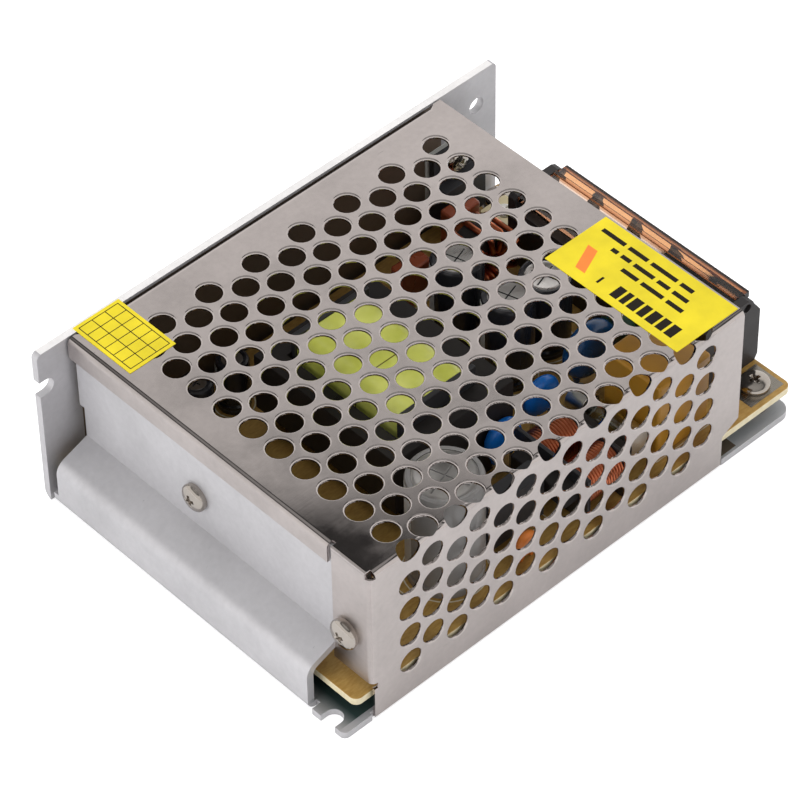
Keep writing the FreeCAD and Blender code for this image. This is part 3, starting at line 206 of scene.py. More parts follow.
def moulded_skin():
    """Fine grain and small tone changes of moulded and dipped parts."""
    group, start, end = new_group("moulded_skin", [
        ("Colour", "NodeSocketColor", (0.1, 0.1, 0.1, 1.0)), ("Dull", "NodeSocketFloat", 0.4),
        ("Grain", "NodeSocketFloat", 1800.0), ("Depth", "NodeSocketFloat", 0.15)], SURFACE)
    place = group.nodes.new("ShaderNodeTexCoord").outputs["Object"]
    grain = noise(group, place, start.outputs["Grain"], 3.0)
    patch = noise(group, place, 140.0, 4.0)
    tone = blend(group, 1.0, start.outputs["Colour"], remap(group, patch, 0.3, 0.7, 0.88, 1.1), "MULTIPLY")
    rough = arithmetic(group, "ADD", start.outputs["Dull"], remap(group, patch, 0.3, 0.7, -0.05, 0.08))
    join(group, tone, end.inputs["Colour"])
    join(group, rough, end.inputs["Roughness"])
    join(group, bump(group, grain, start.outputs["Depth"], 0.00005), end.inputs["Normal"])
    return group


METAL_WEAR = sheet_metal_wear()
SKIN = moulded_skin()


def finish(name, wear, colour, settings, metallic=0.0, extras=None):
    """A material whose shared wear group feeds colour, roughness and relief."""
    material = bpy.data.materials.new(name)
    material.use_nodes = True
    tree = material.node_tree
    shader = tree.nodes["Principled BSDF"]
    node = tree.nodes.new("ShaderNodeGroup")
    node.node_tree = wear
    node.name = "wear"
    if isinstance(colour, tuple):
        node.inputs["Colour"].default_value = (*colour, 1.0)
    for label, value in settings.items():
        node.inputs[label].default_value = value
    for label, target in (("Colour", "Base Color"), ("Roughness", "Roughness"), ("Normal", "Normal")):
        join(tree, node.outputs[label], shader.inputs[target])
    shader.inputs["Metallic"].default_value = metallic
    for label, value in (extras or {}).items():
        shader.inputs[label].default_value = value
    return material


def metal(name, colour, dull, streak=0.1, relief=0.1):
    return finish(name, METAL_WEAR, colour, {"Dull": dull, "Streak": streak, "Relief": relief}, metallic=1.0)


def plastic(name, colour, dull, grain=1800.0, depth=0.15, extras=None):
    return finish(name, SKIN, colour, {"Dull": dull, "Grain": grain, "Depth": depth}, 0.0, extras)


def recolour(material, make):
    """Feeds the wear group with a colour worked out from the place on the piece."""
    tree = material.node_tree
    place = tree.nodes.new("ShaderNodeTexCoord").outputs["Object"]
    split = tree.nodes.new("ShaderNodeSeparateXYZ")
    join(tree, place, split.inputs[0])
    join(tree, make(tree, place, split.outputs), tree.nodes["wear"].inputs["Colour"])
    return material


def between(tree, value, low, high):
    """1 where the value in millimetres lies between two levels."""
    above = arithmetic(tree, "GREATER_THAN", value, low * MM)
    below = arithmetic(tree, "LESS_THAN", value, high * MM)
    return arithmetic(tree, "MULTIPLY", above, below)


def within(tree, axes, spans):
    """1 inside a box that is given by its three spans in millimetres."""
    along, across, up = [between(tree, axis, low, high) for axis, (low, high) in zip(axes, spans)]
    return arithmetic(tree, "MULTIPLY", arithmetic(tree, "MULTIPLY", along, across), up)


def laminate_colour(tree, place, axes):
    """Tan face, pale sawn edge and green underside of the board."""
    fibre = share(tree, noise(tree, stretched(tree, place, (700.0, 2400.0, 700.0)), 1.0, 3.0))
    face = blend(tree, fibre, (0.36, 0.20, 0.045), (0.48, 0.30, 0.085))
    edge = blend(tree, fibre, (0.70, 0.60, 0.38), (0.80, 0.72, 0.50))
    under = blend(tree, fibre, (0.02, 0.10, 0.07), (0.03, 0.14, 0.10))
    tone = blend(tree, between(tree, axes[2], BOARD_TOP - 0.05, BOARD_TOP + 1), edge, face)
    return blend(tree, between(tree, axes[2], -1, BOARD[0].z + 0.05), tone, under)


def lid_colour(tree, place, axes):
    """Tinted plastic: pale behind the ridge, orange before it, dark where ridge and lips thicken it."""
    low, high = corners("terminal_lid")
    ridge_start, ridge_end, front_start = 51.65, 52.55, 52.4
    lip_width, end_width, outside = 0.85, 2.1, 60.0
    front = between(tree, axes[0], front_start, outside)
    tone = blend(tree, front, (0.66, 0.49, 0.39), (0.64, 0.31, 0.13))
    ridge = between(tree, axes[0], ridge_start, ridge_end)
    tone = blend(tree, ridge, tone, (0.40, 0.16, 0.07))
    lip = between(tree, axes[0], high.x - lip_width, outside)
    ends = arithmetic(tree, "MAXIMUM", between(tree, axes[1], -outside, low.y + end_width),
                      between(tree, axes[1], high.y - end_width, outside))
    return blend(tree, arithmetic(tree, "MAXIMUM", lip, ends), tone, (0.15, 0.05, 0.02))


# Span where painted shade darkens every surface inside the box.
SHADED_INSIDE_CASE = ((-46.2, 41.0), (-38.5, 37.7), (0.5, 35.3))
# Span of the painted reflection of the board's green underside on the base, and where it fades out towards
# the ear.
BOARD_REFLECTION_ON_BASE = ((-55.0, 30.0), (-37.8, 36.0), (1.35, 2.2))
BOARD_REFLECTION_FADE = (-54.8, -50.8)


def sheet_colour(tree, place, axes):
    """Rolled faces, the shear-cut top edge lightened with a painted highlight, painted shade inside the box,
    and a painted reflection of the board's green underside on the base.
    """
    # Painted highlight: the upward-facing shear-cut edge along the top is coloured near white.
    sheared_edge_highlight = between(tree, axes[2], CHASSIS[1].z - 0.03, CHASSIS[1].z + 1)
    face = blend(tree, sheared_edge_highlight, (0.55, 0.54, 0.555), (0.98, 0.96, 0.95))
    # Painted shade: every surface inside the box is coloured dark brown.
    tone = blend(tree, within(tree, axes, SHADED_INSIDE_CASE), face, (0.17, 0.125, 0.09))
    # Painted reflection: the base under the board takes the board's dark green, fading out towards the ear.
    reflection_fade = remap(tree, axes[0], BOARD_REFLECTION_FADE[0] * MM, BOARD_REFLECTION_FADE[1] * MM, 0.1, 1.0)
    base = arithmetic(tree, "MULTIPLY", within(tree, axes, BOARD_REFLECTION_ON_BASE), reflection_fade)
    return blend(tree, base, tone, (0.05, 0.085, 0.078))


def tape_colour(tree, place, axes):
    """Yellow-green tape with one dark overlap line across it."""
    middle_y = middle(corners("transformer_winding")).y
    overlap = between(tree, axes[1], middle_y - 2.2, middle_y - 1.95)
    face = blend(tree, share(tree, noise(tree, place, 90.0, 3.0)), (0.66, 0.70, 0.10), (0.92, 0.95, 0.26))
    return blend(tree, overlap, face, (0.16, 0.14, 0.03))


def dull_ends(material, dull):
    """The folded lip and flange at the cover's end are duller than its polished faces."""
    tree = material.node_tree
    split = tree.nodes.new("ShaderNodeSeparateXYZ")
    join(tree, tree.nodes.new("ShaderNodeTexCoord").outputs["Object"], split.inputs[0])
    end = between(tree, split.outputs[0], COVER[0].x - 1, COVER[0].x + 0.45)
    rough = arithmetic(tree, "ADD", dull, arithmetic(tree, "MULTIPLY", end, 0.34))
    join(tree, rough, tree.nodes["wear"].inputs["Dull"])
    return material


METALS = {  # colour, dullness, streaks
    "screw_plating": ((0.45, 0.41, 0.37), 0.10, 0.04),
    "tin_plating": ((0.72, 0.70, 0.66), 0.28, 0.08),
    "pad_tin": ((0.42, 0.39, 0.34), 0.22, 0.1),
    "can_aluminium": ((0.62, 0.60, 0.58), 0.30, 0.10),
    "copper_wire": ((0.62, 0.19, 0.09), 0.28, 0.05),
    "band_gold": ((0.62, 0.40, 0.12), 0.35),
}
PLASTICS = {  # colour, dullness, grain, depth of the grain
    "bobbin_plastic": ((0.03, 0.03, 0.033), 0.38),
    "moulded_black": ((0.03, 0.03, 0.033), 0.55, 3200.0, 0.4),
    "cream_plastic": ((0.72, 0.62, 0.38), 0.40),
    "white_plastic": ((0.80, 0.78, 0.72), 0.35),
    "silicone_pad": ((0.50, 0.50, 0.47), 0.60),
    "black_sleeve": ((0.02, 0.02, 0.024), 0.16, 900.0, 0.08),
    "grey_sleeve": ((0.30, 0.29, 0.28), 0.22, 900.0, 0.08),
    "sleeve_stripe": ((0.62, 0.62, 0.60), 0.3),
    "amber_case": ((0.55, 0.27, 0.03), 0.32),
    "red_case": ((0.30, 0.07, 0.03), 0.25),
    "blue_dip": ((0.008, 0.15, 0.55), 0.16, 400.0, 0.2),
    "dark_blue_dip": ((0.01, 0.07, 0.20), 0.24, 500.0, 0.2),
    "green_dip": ((0.02, 0.06, 0.035), 0.45, 700.0, 0.3),
    "orange_dip": ((0.70, 0.20, 0.03), 0.35, 600.0, 0.2),
    "resistor_coat": ((0.60, 0.44, 0.25), 0.35),
    "band_brown": ((0.12, 0.035, 0.012), 0.35),
    "band_red": ((0.50, 0.03, 0.02), 0.35),
    "board_print": ((0.70, 0.64, 0.48), 0.5),
    "label_orange": ((0.90, 0.22, 0.03), 0.40),
}
SHEENS = {  # as above, with the shader's own settings
    "block_plastic": ((0.028, 0.025, 0.025), 0.5, 2400.0, 0.2, {"Specular IOR Level": 0.35}),
    "ferrite": ((0.022, 0.019, 0.018), 0.6, 3000.0, 0.5, {"Specular IOR Level": 0.3}),
    "label_film": ((0.78, 0.63, 0.02), 0.42, 1500.0, 0.05, {"Specular IOR Level": 0.3}),
    "label_ink": ((0.016, 0.012, 0.008), 0.5, 1800.0, 0.15, {"Specular IOR Level": 0.12}),
    "lid_plastic": (None, 0.02, 800.0, 0.0, {"Transmission Weight": 1.0, "IOR": 1.46}),
    "fuse_glass": ((0.90, 0.93, 0.92), 0.03, 800.0, 0.02, {"Transmission Weight": 1.0, "IOR": 1.45}),
    "green_lens": ((0.16, 0.50, 0.18), 0.12, 800.0, 0.05, {"Transmission Weight": 0.4}),
}
FINISHES = {name: metal(name, *settings) for name, settings in METALS.items()}
FINISHES.update({name: plastic(name, *settings) for name, settings in (PLASTICS | SHEENS).items()})
recolour(FINISHES["lid_plastic"], lid_colour)
FINISHES["folded_aluminium"] = recolour(
    finish("folded_aluminium", METAL_WEAR, None, {"Dull": 0.45, "Streak": 0.06}, 0.5), sheet_colour)
FINISHES["bright_cover_sheet"] = dull_ends(
    metal("bright_cover_sheet", (0.50, 0.455, 0.44), 0.05, 0.01, 0.008), 0.04)
FINISHES["board_laminate"] = recolour(plastic("board_laminate", None, 0.45, 2600.0, 0.2), laminate_colour)
FINISHES["winding_tape"] = recolour(plastic("winding_tape", None, 0.14, 400.0, 0.35), tape_colour)


# Making pieces

def add_piece(bm, name, coats, body="case", stands_for=(), crease=30.0):
    """Turns a bmesh into a piece that rides on a body and may stand for nodes."""
    mesh = bpy.data.meshes.new(name)
    bm.to_mesh(mesh)
    bm.free()
    for coat in [coats] if isinstance(coats, str) else coats:
        mesh.materials.append(FINISHES[coat])
    mesh.polygons.foreach_set("use_smooth", [True] * len(mesh.polygons))
    mesh.set_sharp_from_angle(angle=math.radians(crease))
    piece = bpy.data.objects.new(name, mesh)
    bpy.context.scene.collection.objects.link(piece)
    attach(piece, body)
    if stands_for:
        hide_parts(*stands_for)
    return piece


def ease(piece, width, angle=30.0):
    """Small rounded edges, as a modifier."""
    modifier = piece.modifiers.new("eased_edges", "BEVEL")
    modifier.width = width * MM
    modifier.segments = 2
    modifier.limit_method = "ANGLE"
    modifier.angle_limit = math.radians(angle)
    modifier.harden_normals = False


def level_normals(piece):
    """Keeps large flat faces flat in the light while their eased edges stay round."""
    modifier = piece.modifiers.new("level_normals", "WEIGHTED_NORMAL")
    modifier.mode = "FACE_AREA"
    modifier.weight = 100
    modifier.keep_sharp = True


def settle(piece, crease=30.0):
    """Applies a piece's modifiers to its mesh."""
    graph = bpy.context.evaluated_depsgraph_get()
    mesh = bpy.data.meshes.new_from_object(piece.evaluated_get(graph), depsgraph=graph)
    mesh.set_sharp_from_angle(angle=math.radians(crease))
    piece.modifiers.clear()
    old = piece.data
    piece.data = mesh
    bpy.data.meshes.remove(old)


def scaled(bm):
    """Pieces are shaped in millimetres and brought to metres at the end."""
    bmesh.ops.scale(bm, vec=(MM, MM, MM), verts=bm.verts)
    return bm


def from_node(node, coat, width, body="case"):
    """The model's own piece with eased edges."""
    bm = bmesh.new()
    bm.from_mesh(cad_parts[node].data)
    bmesh.ops.remove_doubles(bm, verts=bm.verts, dist=MERGE)
    bmesh.ops.dissolve_limit(bm, angle_limit=math.radians(0.5), verts=bm.verts, edges=bm.edges)
    ease(add_piece(bm, node + "_finished", coat, body, [node]), width)


def turn_profile(profile, steps):
    """Spins a profile of (radius, height) corners about Z and closes it."""
    bm = bmesh.new()
    verts = [bm.verts.new((radius, 0.0, height)) for radius, height in profile]
    edges = [bm.edges.new(pair) for pair in zip(verts, verts[1:])]
    bmesh.ops.spin(bm, geom=verts + edges, cent=(0, 0, 0), axis=(0, 0, 1), angle=math.tau, steps=steps,
                   use_merge=True)
    bmesh.ops.remove_doubles(bm, verts=bm.verts, dist=0.0005)
    bmesh.ops.recalc_face_normals(bm, faces=bm.faces)
    return bm


AIM = {"Z": Matrix.Identity(4), "-Z": Matrix.Rotation(math.pi, 4, "X"),
       "X": Matrix.Rotation(math.pi / 2, 4, "Y"), "-X": Matrix.Rotation(-math.pi / 2, 4, "Y"),
       "Y": Matrix.Rotation(-math.pi / 2, 4, "X"), "-Y": Matrix.Rotation(math.pi / 2, 4, "X")}


def merged(parts):
    """One bmesh out of several (bmesh, direction, place, material number)."""
    whole = bmesh.new()
    for part, aim, place, coat in parts:
        bmesh.ops.transform(part, matrix=Matrix.Translation(Vector(place)) @ AIM[aim], verts=part.verts)
        if coat is not None:
            for face in part.faces:
                face.material_index = coat
        mesh = bpy.data.meshes.new("part")
        part.to_mesh(mesh)
        part.free()
        whole.from_mesh(mesh)
        bpy.data.meshes.remove(mesh)
    return whole


def cuboid(low, high):
    """A box between two corners."""
    bm = bmesh.new()
    bmesh.ops.create_cube(bm, size=1.0)
    low, high = Vector(low), Vector(high)
    bmesh.ops.scale(bm, vec=high - low, verts=bm.verts)
    bmesh.ops.translate(bm, vec=(low + high) / 2, verts=bm.verts)
    return bm


def cylinder(radius, low, high, segments=32):
    """An upright round bar between two levels."""
    bm = bmesh.new()
    bmesh.ops.create_cone(bm, cap_ends=True, segments=segments, radius1=radius, radius2=radius,
                          depth=high - low)
    bmesh.ops.translate(bm, vec=(0, 0, (low + high) / 2), verts=bm.verts)
    return bm


def carve(piece, tool_bm):
    """Cuts a tool away from a piece."""
    mesh = bpy.data.meshes.new("tool")
    tool_bm.to_mesh(mesh)
    tool_bm.free()
    tool = bpy.data.objects.new("tool", mesh)
    bpy.context.scene.collection.objects.link(tool)
    modifier = piece.modifiers.new("carve", "BOOLEAN")
    modifier.operation = "DIFFERENCE"
    modifier.solver = "EXACT"
    modifier.object = tool
    settle(piece)
    bpy.data.objects.remove(tool)
    bpy.data.meshes.remove(mesh)


# The perforated cover

HOLE = 2.38
FIRST_COLUMN = -39.31
COLUMN_PAIR = 10.9
IN_PAIR = 5.27
ROW = 6.55
LAST_ROW = 28.89 - ROW * 10
SIDE_ROW = 6.525
SIDE_LOW = 34.14 - SIDE_ROW * 3.5
GAUGE = 0.6
HOLE_SIDES = 20
PAIRS = 7
FOLD_SQUASH = 0.74
SCREW_HOLE = 1.6
CORNER_RELIEF = 1.25
FOLD = 1.3
FAR_LIP, END_LIP, FLANGE, CORNER_LIP = 5.0, 4.5, 8.1, 0.65
LIP_GAP = (-29.6, -28.7)
FLANGE_FOOT, SIDE_FOOT = 8.7, 7.4
FAR_LIP_INSET = 3.0
CUT_START, CUT_END = 36.4, 37.4


def rimmed_punch(depth):
    """A round punch that flares where it meets the sheet, so that the hole gets a rolled rim."""
    outline = [(0.0, -depth), (HOLE, -depth), (HOLE, -0.42), (HOLE + 0.10, -0.14), (HOLE + 0.38, 0.01),
               (HOLE + 0.38, 1.0), (0.0, 1.0)]
    return turn_profile(outline, HOLE_SIDES)


def cover_holes():
    """Punches for every hole of the top, the side and the fold between them."""
    punches = []
    side = COVER[0].y
    deep, shallow = 1.9, 1.5
    for pair in range(PAIRS):
        odd = FIRST_COLUMN + COLUMN_PAIR * pair
        even = odd + IN_PAIR
        for step in range(11):
            punches.append((rimmed_punch(deep), "Z", (even, LAST_ROW + ROW * step, TOP), None))
        for step in range(10):
            punches.append((rimmed_punch(deep), "Z", (odd, LAST_ROW + ROW * (step + 0.5), TOP), None))
        for step in range(4):
            for column, shift in ((even, 0.0), (odd, 0.5)):
                level = SIDE_LOW + SIDE_ROW * (step - shift)
                punches.append((rimmed_punch(shallow), "-Y", (column, side, level), None))
        fold = cylinder(HOLE, -3.0, 2.0, HOLE_SIDES)
        bmesh.ops.scale(fold, vec=(1, FOLD_SQUASH, 1), verts=fold.verts)
        bmesh.ops.rotate(fold, cent=(0, 0, 0), matrix=Matrix.Rotation(math.pi / 4, 3, "X"), verts=fold.verts)
        punches.append((fold, "Z", (odd, side + 0.1, TOP - 0.1), None))
    screw = middle(corners("cover_screw"))
    punches.append((cylinder(SCREW_HOLE, -1.5, 1.0), "-X", (COVER[0].x, screw.y, screw.z), None))
    ball = bmesh.new()
    bmesh.ops.create_uvsphere(ball, u_segments=24, v_segments=16, radius=CORNER_RELIEF)
    punches.append((ball, "Z", (COVER[0].x, side, TOP), None))
    return merged(punches)


def cover_sheet():
    """The cover's outer skin, folded: top, near side, end lip, flange and far lip."""
    low, high = COVER
    inset = low.x + FOLD
    bm = bmesh.new()
    levels = [(high.y, TOP - FAR_LIP), (high.y, TOP), (LIP_GAP[1], TOP), (LIP_GAP[0], TOP),
              (low.y + FOLD, TOP), (low.y, TOP), (low.y, TOP - FOLD), (low.y, FLANGE_FOOT),
              (low.y, SIDE_FOOT), (low.y, low.z)]
    verts = [bm.verts.new((low.x, y, z)) for y, z in levels]
    edges = [bm.edges.new(pair) for pair in zip(verts, verts[1:])]
    for stop in (inset, low.x + FAR_LIP_INSET, CUT_START, CUT_END, high.x):
        grown = bmesh.ops.extrude_edge_only(bm, edges=edges)["geom"]
        verts = [item for item in grown if isinstance(item, bmesh.types.BMVert)]
        edges = [item for item in grown if isinstance(item, bmesh.types.BMEdge)
                 and all(vert in verts for vert in item.verts)]
        for vert in verts:
            vert.co.x = stop
    bmesh.ops.delete(bm, geom=[face for face in bm.faces if cut_away(face.calc_center_median(), inset)],
                     context="FACES")
    slope_start, slope_rise, foot_inset = 0.55, 2.2, 0.5
    for vert in bm.verts:
        if abs(vert.co.y - low.y) < CLOSE and vert.co.z < FLANGE_FOOT + 0.3:
            if abs(vert.co.x - CUT_END) < CLOSE:
                vert.co.z += slope_start if vert.co.z > SIDE_FOOT - 0.4 else 0.0
            if abs(vert.co.x - high.x) < CLOSE:
                vert.co.z += slope_rise
            if abs(vert.co.x - low.x) < CLOSE and vert.co.z < FLANGE_FOOT - 0.7:
                vert.co.x = low.x + foot_inset

    def on_flange(place, line):
        return abs(place.y - line) < CLOSE and FLANGE_FOOT < place.z < TOP - FOLD

    def under_corner(place):
        return low.y + FOLD < place.y < LIP_GAP[0] - 0.1 and abs(place.z - TOP + FOLD) < CLOSE

    grow_lip(bm, lambda place: place.y > LIP_GAP[1] + 0.1 and place.z > TOP - CLOSE, (0, 0, -END_LIP))
    grow_lip(bm, lambda place: on_flange(place, low.y), (0, FOLD, 0))
    grow_lip(bm, lambda place: on_flange(place, low.y + FOLD), (0, FLANGE, 0))
    grow_lip(bm, under_corner, (0, 0, CORNER_LIP))
    folds = [edge for edge in bm.edges if len(edge.link_faces) == 2 and edge.calc_face_angle() > 0.5]
    bmesh.ops.bevel(bm, geom=folds, offset=1.2, offset_type="OFFSET", segments=5, profile=0.5,
                    affect="EDGES", material=-1, clamp_overlap=True)
    bmesh.ops.recalc_face_normals(bm, faces=bm.faces)
    bmesh.ops.dissolve_limit(bm, angle_limit=0.001, verts=bm.verts, edges=bm.edges)
    return bm


def cut_away(centre, inset):
    """Reliefs at the corner and beside the end lip, the short far lip and the cut terminal corner."""
    low, high = COVER
    if abs(centre.y - high.y) < CLOSE:
        return centre.x < low.x + FAR_LIP_INSET or centre.x > CUT_END
    if abs(centre.y - low.y) < CLOSE:
        if centre.x < inset:
            return centre.z > TOP - FOLD or SIDE_FOOT < centre.z < FLANGE_FOOT
        return centre.x > CUT_START and centre.z < SIDE_FOOT
    return centre.x < inset and (centre.y < low.y + FOLD or LIP_GAP[0] < centre.y < LIP_GAP[1])


def grow_lip(bm, wanted, shift):
    """Extrudes a lip from the open edges at the cover's end."""
    start = []
    for edge in bm.edges:
        place = (edge.verts[0].co + edge.verts[1].co) / 2
        if len(edge.link_faces) == 1 and abs(place.x - COVER[0].x) < CLOSE and wanted(place):
            start.append(edge)
    grown = bmesh.ops.extrude_edge_only(bm, edges=start)["geom"]
    verts = [item for item in grown if isinstance(item, bmesh.types.BMVert)]
    bmesh.ops.translate(bm, vec=shift, verts=verts)


def make_cover():
    """The folded sheet, given its thickness, punched and eased."""
    bm = cover_sheet()
    if sum(face.normal.z * face.calc_area() for face in bm.faces) < 0:
        bmesh.ops.reverse_faces(bm, faces=bm.faces)
    piece = add_piece(scaled(bm), "perforated_cover", "bright_cover_sheet", "case", ["mesh_cover"])
    wall = piece.modifiers.new("gauge", "SOLIDIFY")
    wall.thickness = GAUGE * MM
    wall.offset = -1.0
    wall.use_even_offset = True
    settle(piece)
    carve(piece, scaled(cover_holes()))
    ease(piece, 0.12, 60.0)
    settle(piece, 75.0)
    level_normals(piece)
    settle(piece, 75.0)


# Screws

def pan_screw(head, height, length):
    """A pan head on a ridged shank, before its cross recess is cut."""
    dome = [(0.0, height)]
    for step in range(1, 7):
        turn = math.radians(15 * step)
        dome.append((head * math.sin(turn) ** 0.85, height * 0.45 + height * 0.55 * math.cos(turn)))
    dome += [(head, height * 0.30), (head * 0.96, 0.0), (1.45, 0.0)]
    depth = 0.0
    while depth < length - 0.6:
        dome += [(1.47, -depth - 0.05), (1.22, -depth - 0.3)]
        depth += 0.5
    dome += [(1.2, -length + 0.3), (0.8, -length), (0.0, -length)]
    return turn_profile(dome, 40)


def make_screws(name, node, screws):
    """A set of cross recessed screws: (head radius, head height, length, seat, direction, turn)."""
    bodies = [(pan_screw(head, height, length), aim, seat, None)
              for head, height, length, seat, aim, _ in screws]
    piece = add_piece(scaled(merged(bodies)), name, "screw_plating", "case", [node], 35.0)
    for arm in (0, 1):
        cuts = []
        for _, height, _, seat, aim, turn in screws:
            tool = cuboid((-1.6, -0.42, height - 1.1), (1.6, 0.42, height + 1))
            for vert in tool.verts:
                if vert.co.z < height:
                    vert.co.x *= 0.45
                    vert.co.y *= 0.7
            spin = Matrix.Rotation(turn + arm * math.pi / 2, 3, "Z")
            bmesh.ops.rotate(tool, cent=(0, 0, 0), matrix=spin, verts=tool.verts)
            cuts.append((tool, aim, seat, None))
        carve(piece, scaled(merged(cuts)))
    ease(piece, 0.06, 50.0)
    settle(piece, 35.0)


def all_screws():
    """The cover's screw, the clamp screws, the board's screws and the terminal screws."""
    screw = middle(corners("cover_screw"))
    make_screws("cover_screw_head", "cover_screw", [
        (3.0, 2.1, 4.4, (COVER[0].x, screw.y, screw.z), "-X", 0.5)])
    wall, side = solids("clamp_screws")
    make_screws("clamp_screw_heads", "clamp_screws", [
        (2.75, 1.9, 5.2, (wall[0].x + 1.9, middle(wall).y, middle(wall).z), "-X", 0.25),
        (2.75, 1.9, 2.9, (middle(side).x, side[0].y + 1.9, middle(side).z), "-Y", 0.8)])
    make_screws("board_screw_heads", "board_screws", [
        (3.0, 1.9, 4.0, (middle(place).x, middle(place).y, BOARD_TOP), "Z", 0.4 + 0.5 * step)
        for step, place in enumerate(solids("board_screws"))])
    seat = corners("clamp_washers")[1].z
    make_screws("terminal_screw_heads", "terminal_screws", [
        (2.8, 1.9, 4.4, (middle(place).x, middle(place).y, seat), "Z", 0.3 * step)
        for step, place in enumerate(solids("terminal_screws"))])


# Labels

INK_DEPTH = 0.03
FILM_STEP = 0.015
LABEL_ROWS = (  # distance along the label, height, start, lengths of the bars, gap
    (1.6, 3.0, 18.0, (1.7, 1.2, 1.9, 1.5, 1.9, 1.6, 1.8), 0.55),
    (2.2, 1.8, 21.8, (0.5,), 0.5),
    (7.2, 0.95, 20.8, (3.9, 5.2, 3.8), 0.9),
    (9.6, 0.95, 25.6, (1.5, 2.2, 4.8, 2.8, 3.6), 0.9),
    (12.0, 0.95, 30.2, (5.6, 4.6, 6.2, 3.0), 0.9),
)
HERE = ("Z", (0, 0, 0))


def print_bar(low_x, high_x, low_y, high_y, top):
    """A field of ink on a label."""
    return (cuboid((low_x, low_y, top - INK_DEPTH), (high_x, high_y, top)), *HERE, 1)


def film(low, high):
    """The film of a label, a hair below its ink."""
    return (cuboid(low, (high.x, high.y, high.z - FILM_STEP)), *HERE, 0)


def bar_row(x, height, start, lengths, gap, top):
    """Plain bars in a row, as long as words."""
    bars = []
    for length in lengths:
        bars.append(print_bar(x, x + height, start - length, start, top))
        start -= length + gap
    return bars


def slanted_patch(x, y, top):
    """A slanted field of orange ink."""
    length, width, slant = 5.6, 2.3, 0.42
    patch = cuboid((x, y, top - INK_DEPTH), (x + length, y + width, top))
    for vert in patch.verts:
        vert.co.y += (vert.co.x - x) * slant
    return (patch, *HERE, 2)


def make_labels():
    """The cover's label with plain bars, and the edge label with a plain grid."""
    low, high = corners("cover_label")
    top = high.z
    sheet = [film(low, high)]
    for along, height, start, lengths, gap in LABEL_ROWS:
        sheet += bar_row(low.x + along, height, low.y + start, lengths, gap, top)
    sheet.append(slanted_patch(low.x + 2.3, low.y + 24.6, top))
    add_piece(scaled(merged(sheet)), "cover_label_film", ["label_film", "label_ink", "label_orange"], "case",
              ["cover_label"])
    low, high = corners("edge_label")
    top = high.z
    sheet = [film(low, high)]
    line, margin, columns, rows = 0.16, 0.7, 3, 6
    for step in range(columns + 1):
        x = low.x + margin + (high.x - low.x - 2 * margin - line) * step / columns
        sheet.append(print_bar(x, x + line, low.y + margin, high.y - margin, top))
    for step in range(rows + 1):
        y = low.y + margin + (high.y - low.y - 2 * margin - line) * step / rows
        sheet.append(print_bar(low.x + margin, high.x - margin, y, y + line, top - 0.002))
    add_piece(scaled(merged(sheet)), "edge_label_film", ["label_film", "label_ink"], "case", ["edge_label"])


# Parts on the board

def wire_along(paths, radius, closed=True, resolution=1):
    """Round wire along lines of points."""
    curve = bpy.data.curves.new("wire", "CURVE")
    curve.dimensions = "3D"
    curve.bevel_depth = radius
    curve.bevel_resolution = resolution
    curve.use_fill_caps = not closed
    for path in paths:
        spline = curve.splines.new("POLY")
        spline.points.add(len(path) - 1)
        for point, place in zip(spline.points, path):
            point.co = (*place, 1.0)
        spline.use_cyclic_u = closed
    item = bpy.data.objects.new("wire", curve)
    bpy.context.scene.collection.objects.link(item)
    graph = bpy.context.evaluated_depsgraph_get()
    mesh = bpy.data.meshes.new_from_object(item.evaluated_get(graph), depsgraph=graph)
    bm = bmesh.new()
    bm.from_mesh(mesh)
    bpy.data.objects.remove(item)
    bpy.data.curves.remove(curve)
    bpy.data.meshes.remove(mesh)
    return bm


def can_parts(place):
    """A sleeved can: crimped foot, curled sleeve lip, bare top and a pale stripe down one side."""
    low, high = place
    radius = (high.x - low.x) / 2
    tall = high.z - low.z
    centre = (middle(place).x, middle(place).y, low.z)
    sleeve = turn_profile([
        (0, 0.3), (radius - 0.6, 0.3), (radius - 0.35, 0), (radius - 0.1, 0), (radius, 0.3), (radius, 1.7),
        (radius - 0.3, 2.1), (radius - 0.3, 2.4), (radius, 2.8), (radius, tall - 0.7),
        (radius - 0.2, tall - 0.2), (radius - 0.6, tall), (radius - 1.1, tall - 0.05),
        (radius - 1.15, tall - 0.6), (0, tall - 0.6)], 36)
    stripe_start, stripe_end = 2.1, 2.9
    for face in sleeve.faces:
        spot = face.calc_center_median()
        turn = math.atan2(spot.y, spot.x)
        face.material_index = 2 if 3 < spot.z < tall - 0.8 and stripe_start < turn < stripe_end else 0
    rim, under = radius - 1.18, tall - 0.58
    top = turn_profile([
        (0, under), (rim, under), (rim, tall - 0.2), (radius - 1.5, tall - 0.12),
        (radius - 2.0, tall - 0.26), (0, tall - 0.22)], 36)
    return [(sleeve, "Z", centre, None), (top, "Z", centre, 1)]


def make_cans(node, name, sleeve):
    """Sleeved cans whose bare tops carry a crossed vent groove."""
    parts = []
    vents = []
    for place in solids(node):
        parts += can_parts(place)
        radius = (place[1].x - place[0].x) / 2 - 2.2
        for turn in (0.3, 0.3 + math.pi / 2):
            groove = cuboid((-radius, -0.14, -0.42), (radius, 0.14, 1.0))
            bmesh.ops.rotate(groove, cent=(0, 0, 0), matrix=Matrix.Rotation(turn, 3, "Z"), verts=groove.verts)
            vents.append((groove, "Z", (middle(place).x, middle(place).y, place[1].z), None))
    coats = [sleeve, "can_aluminium", "sleeve_stripe"]
    piece = add_piece(scaled(merged(parts)), name, coats, "case", [node], 40.0)
    for step in (0, 1):
        carve(piece, scaled(merged(vents[step::2])))


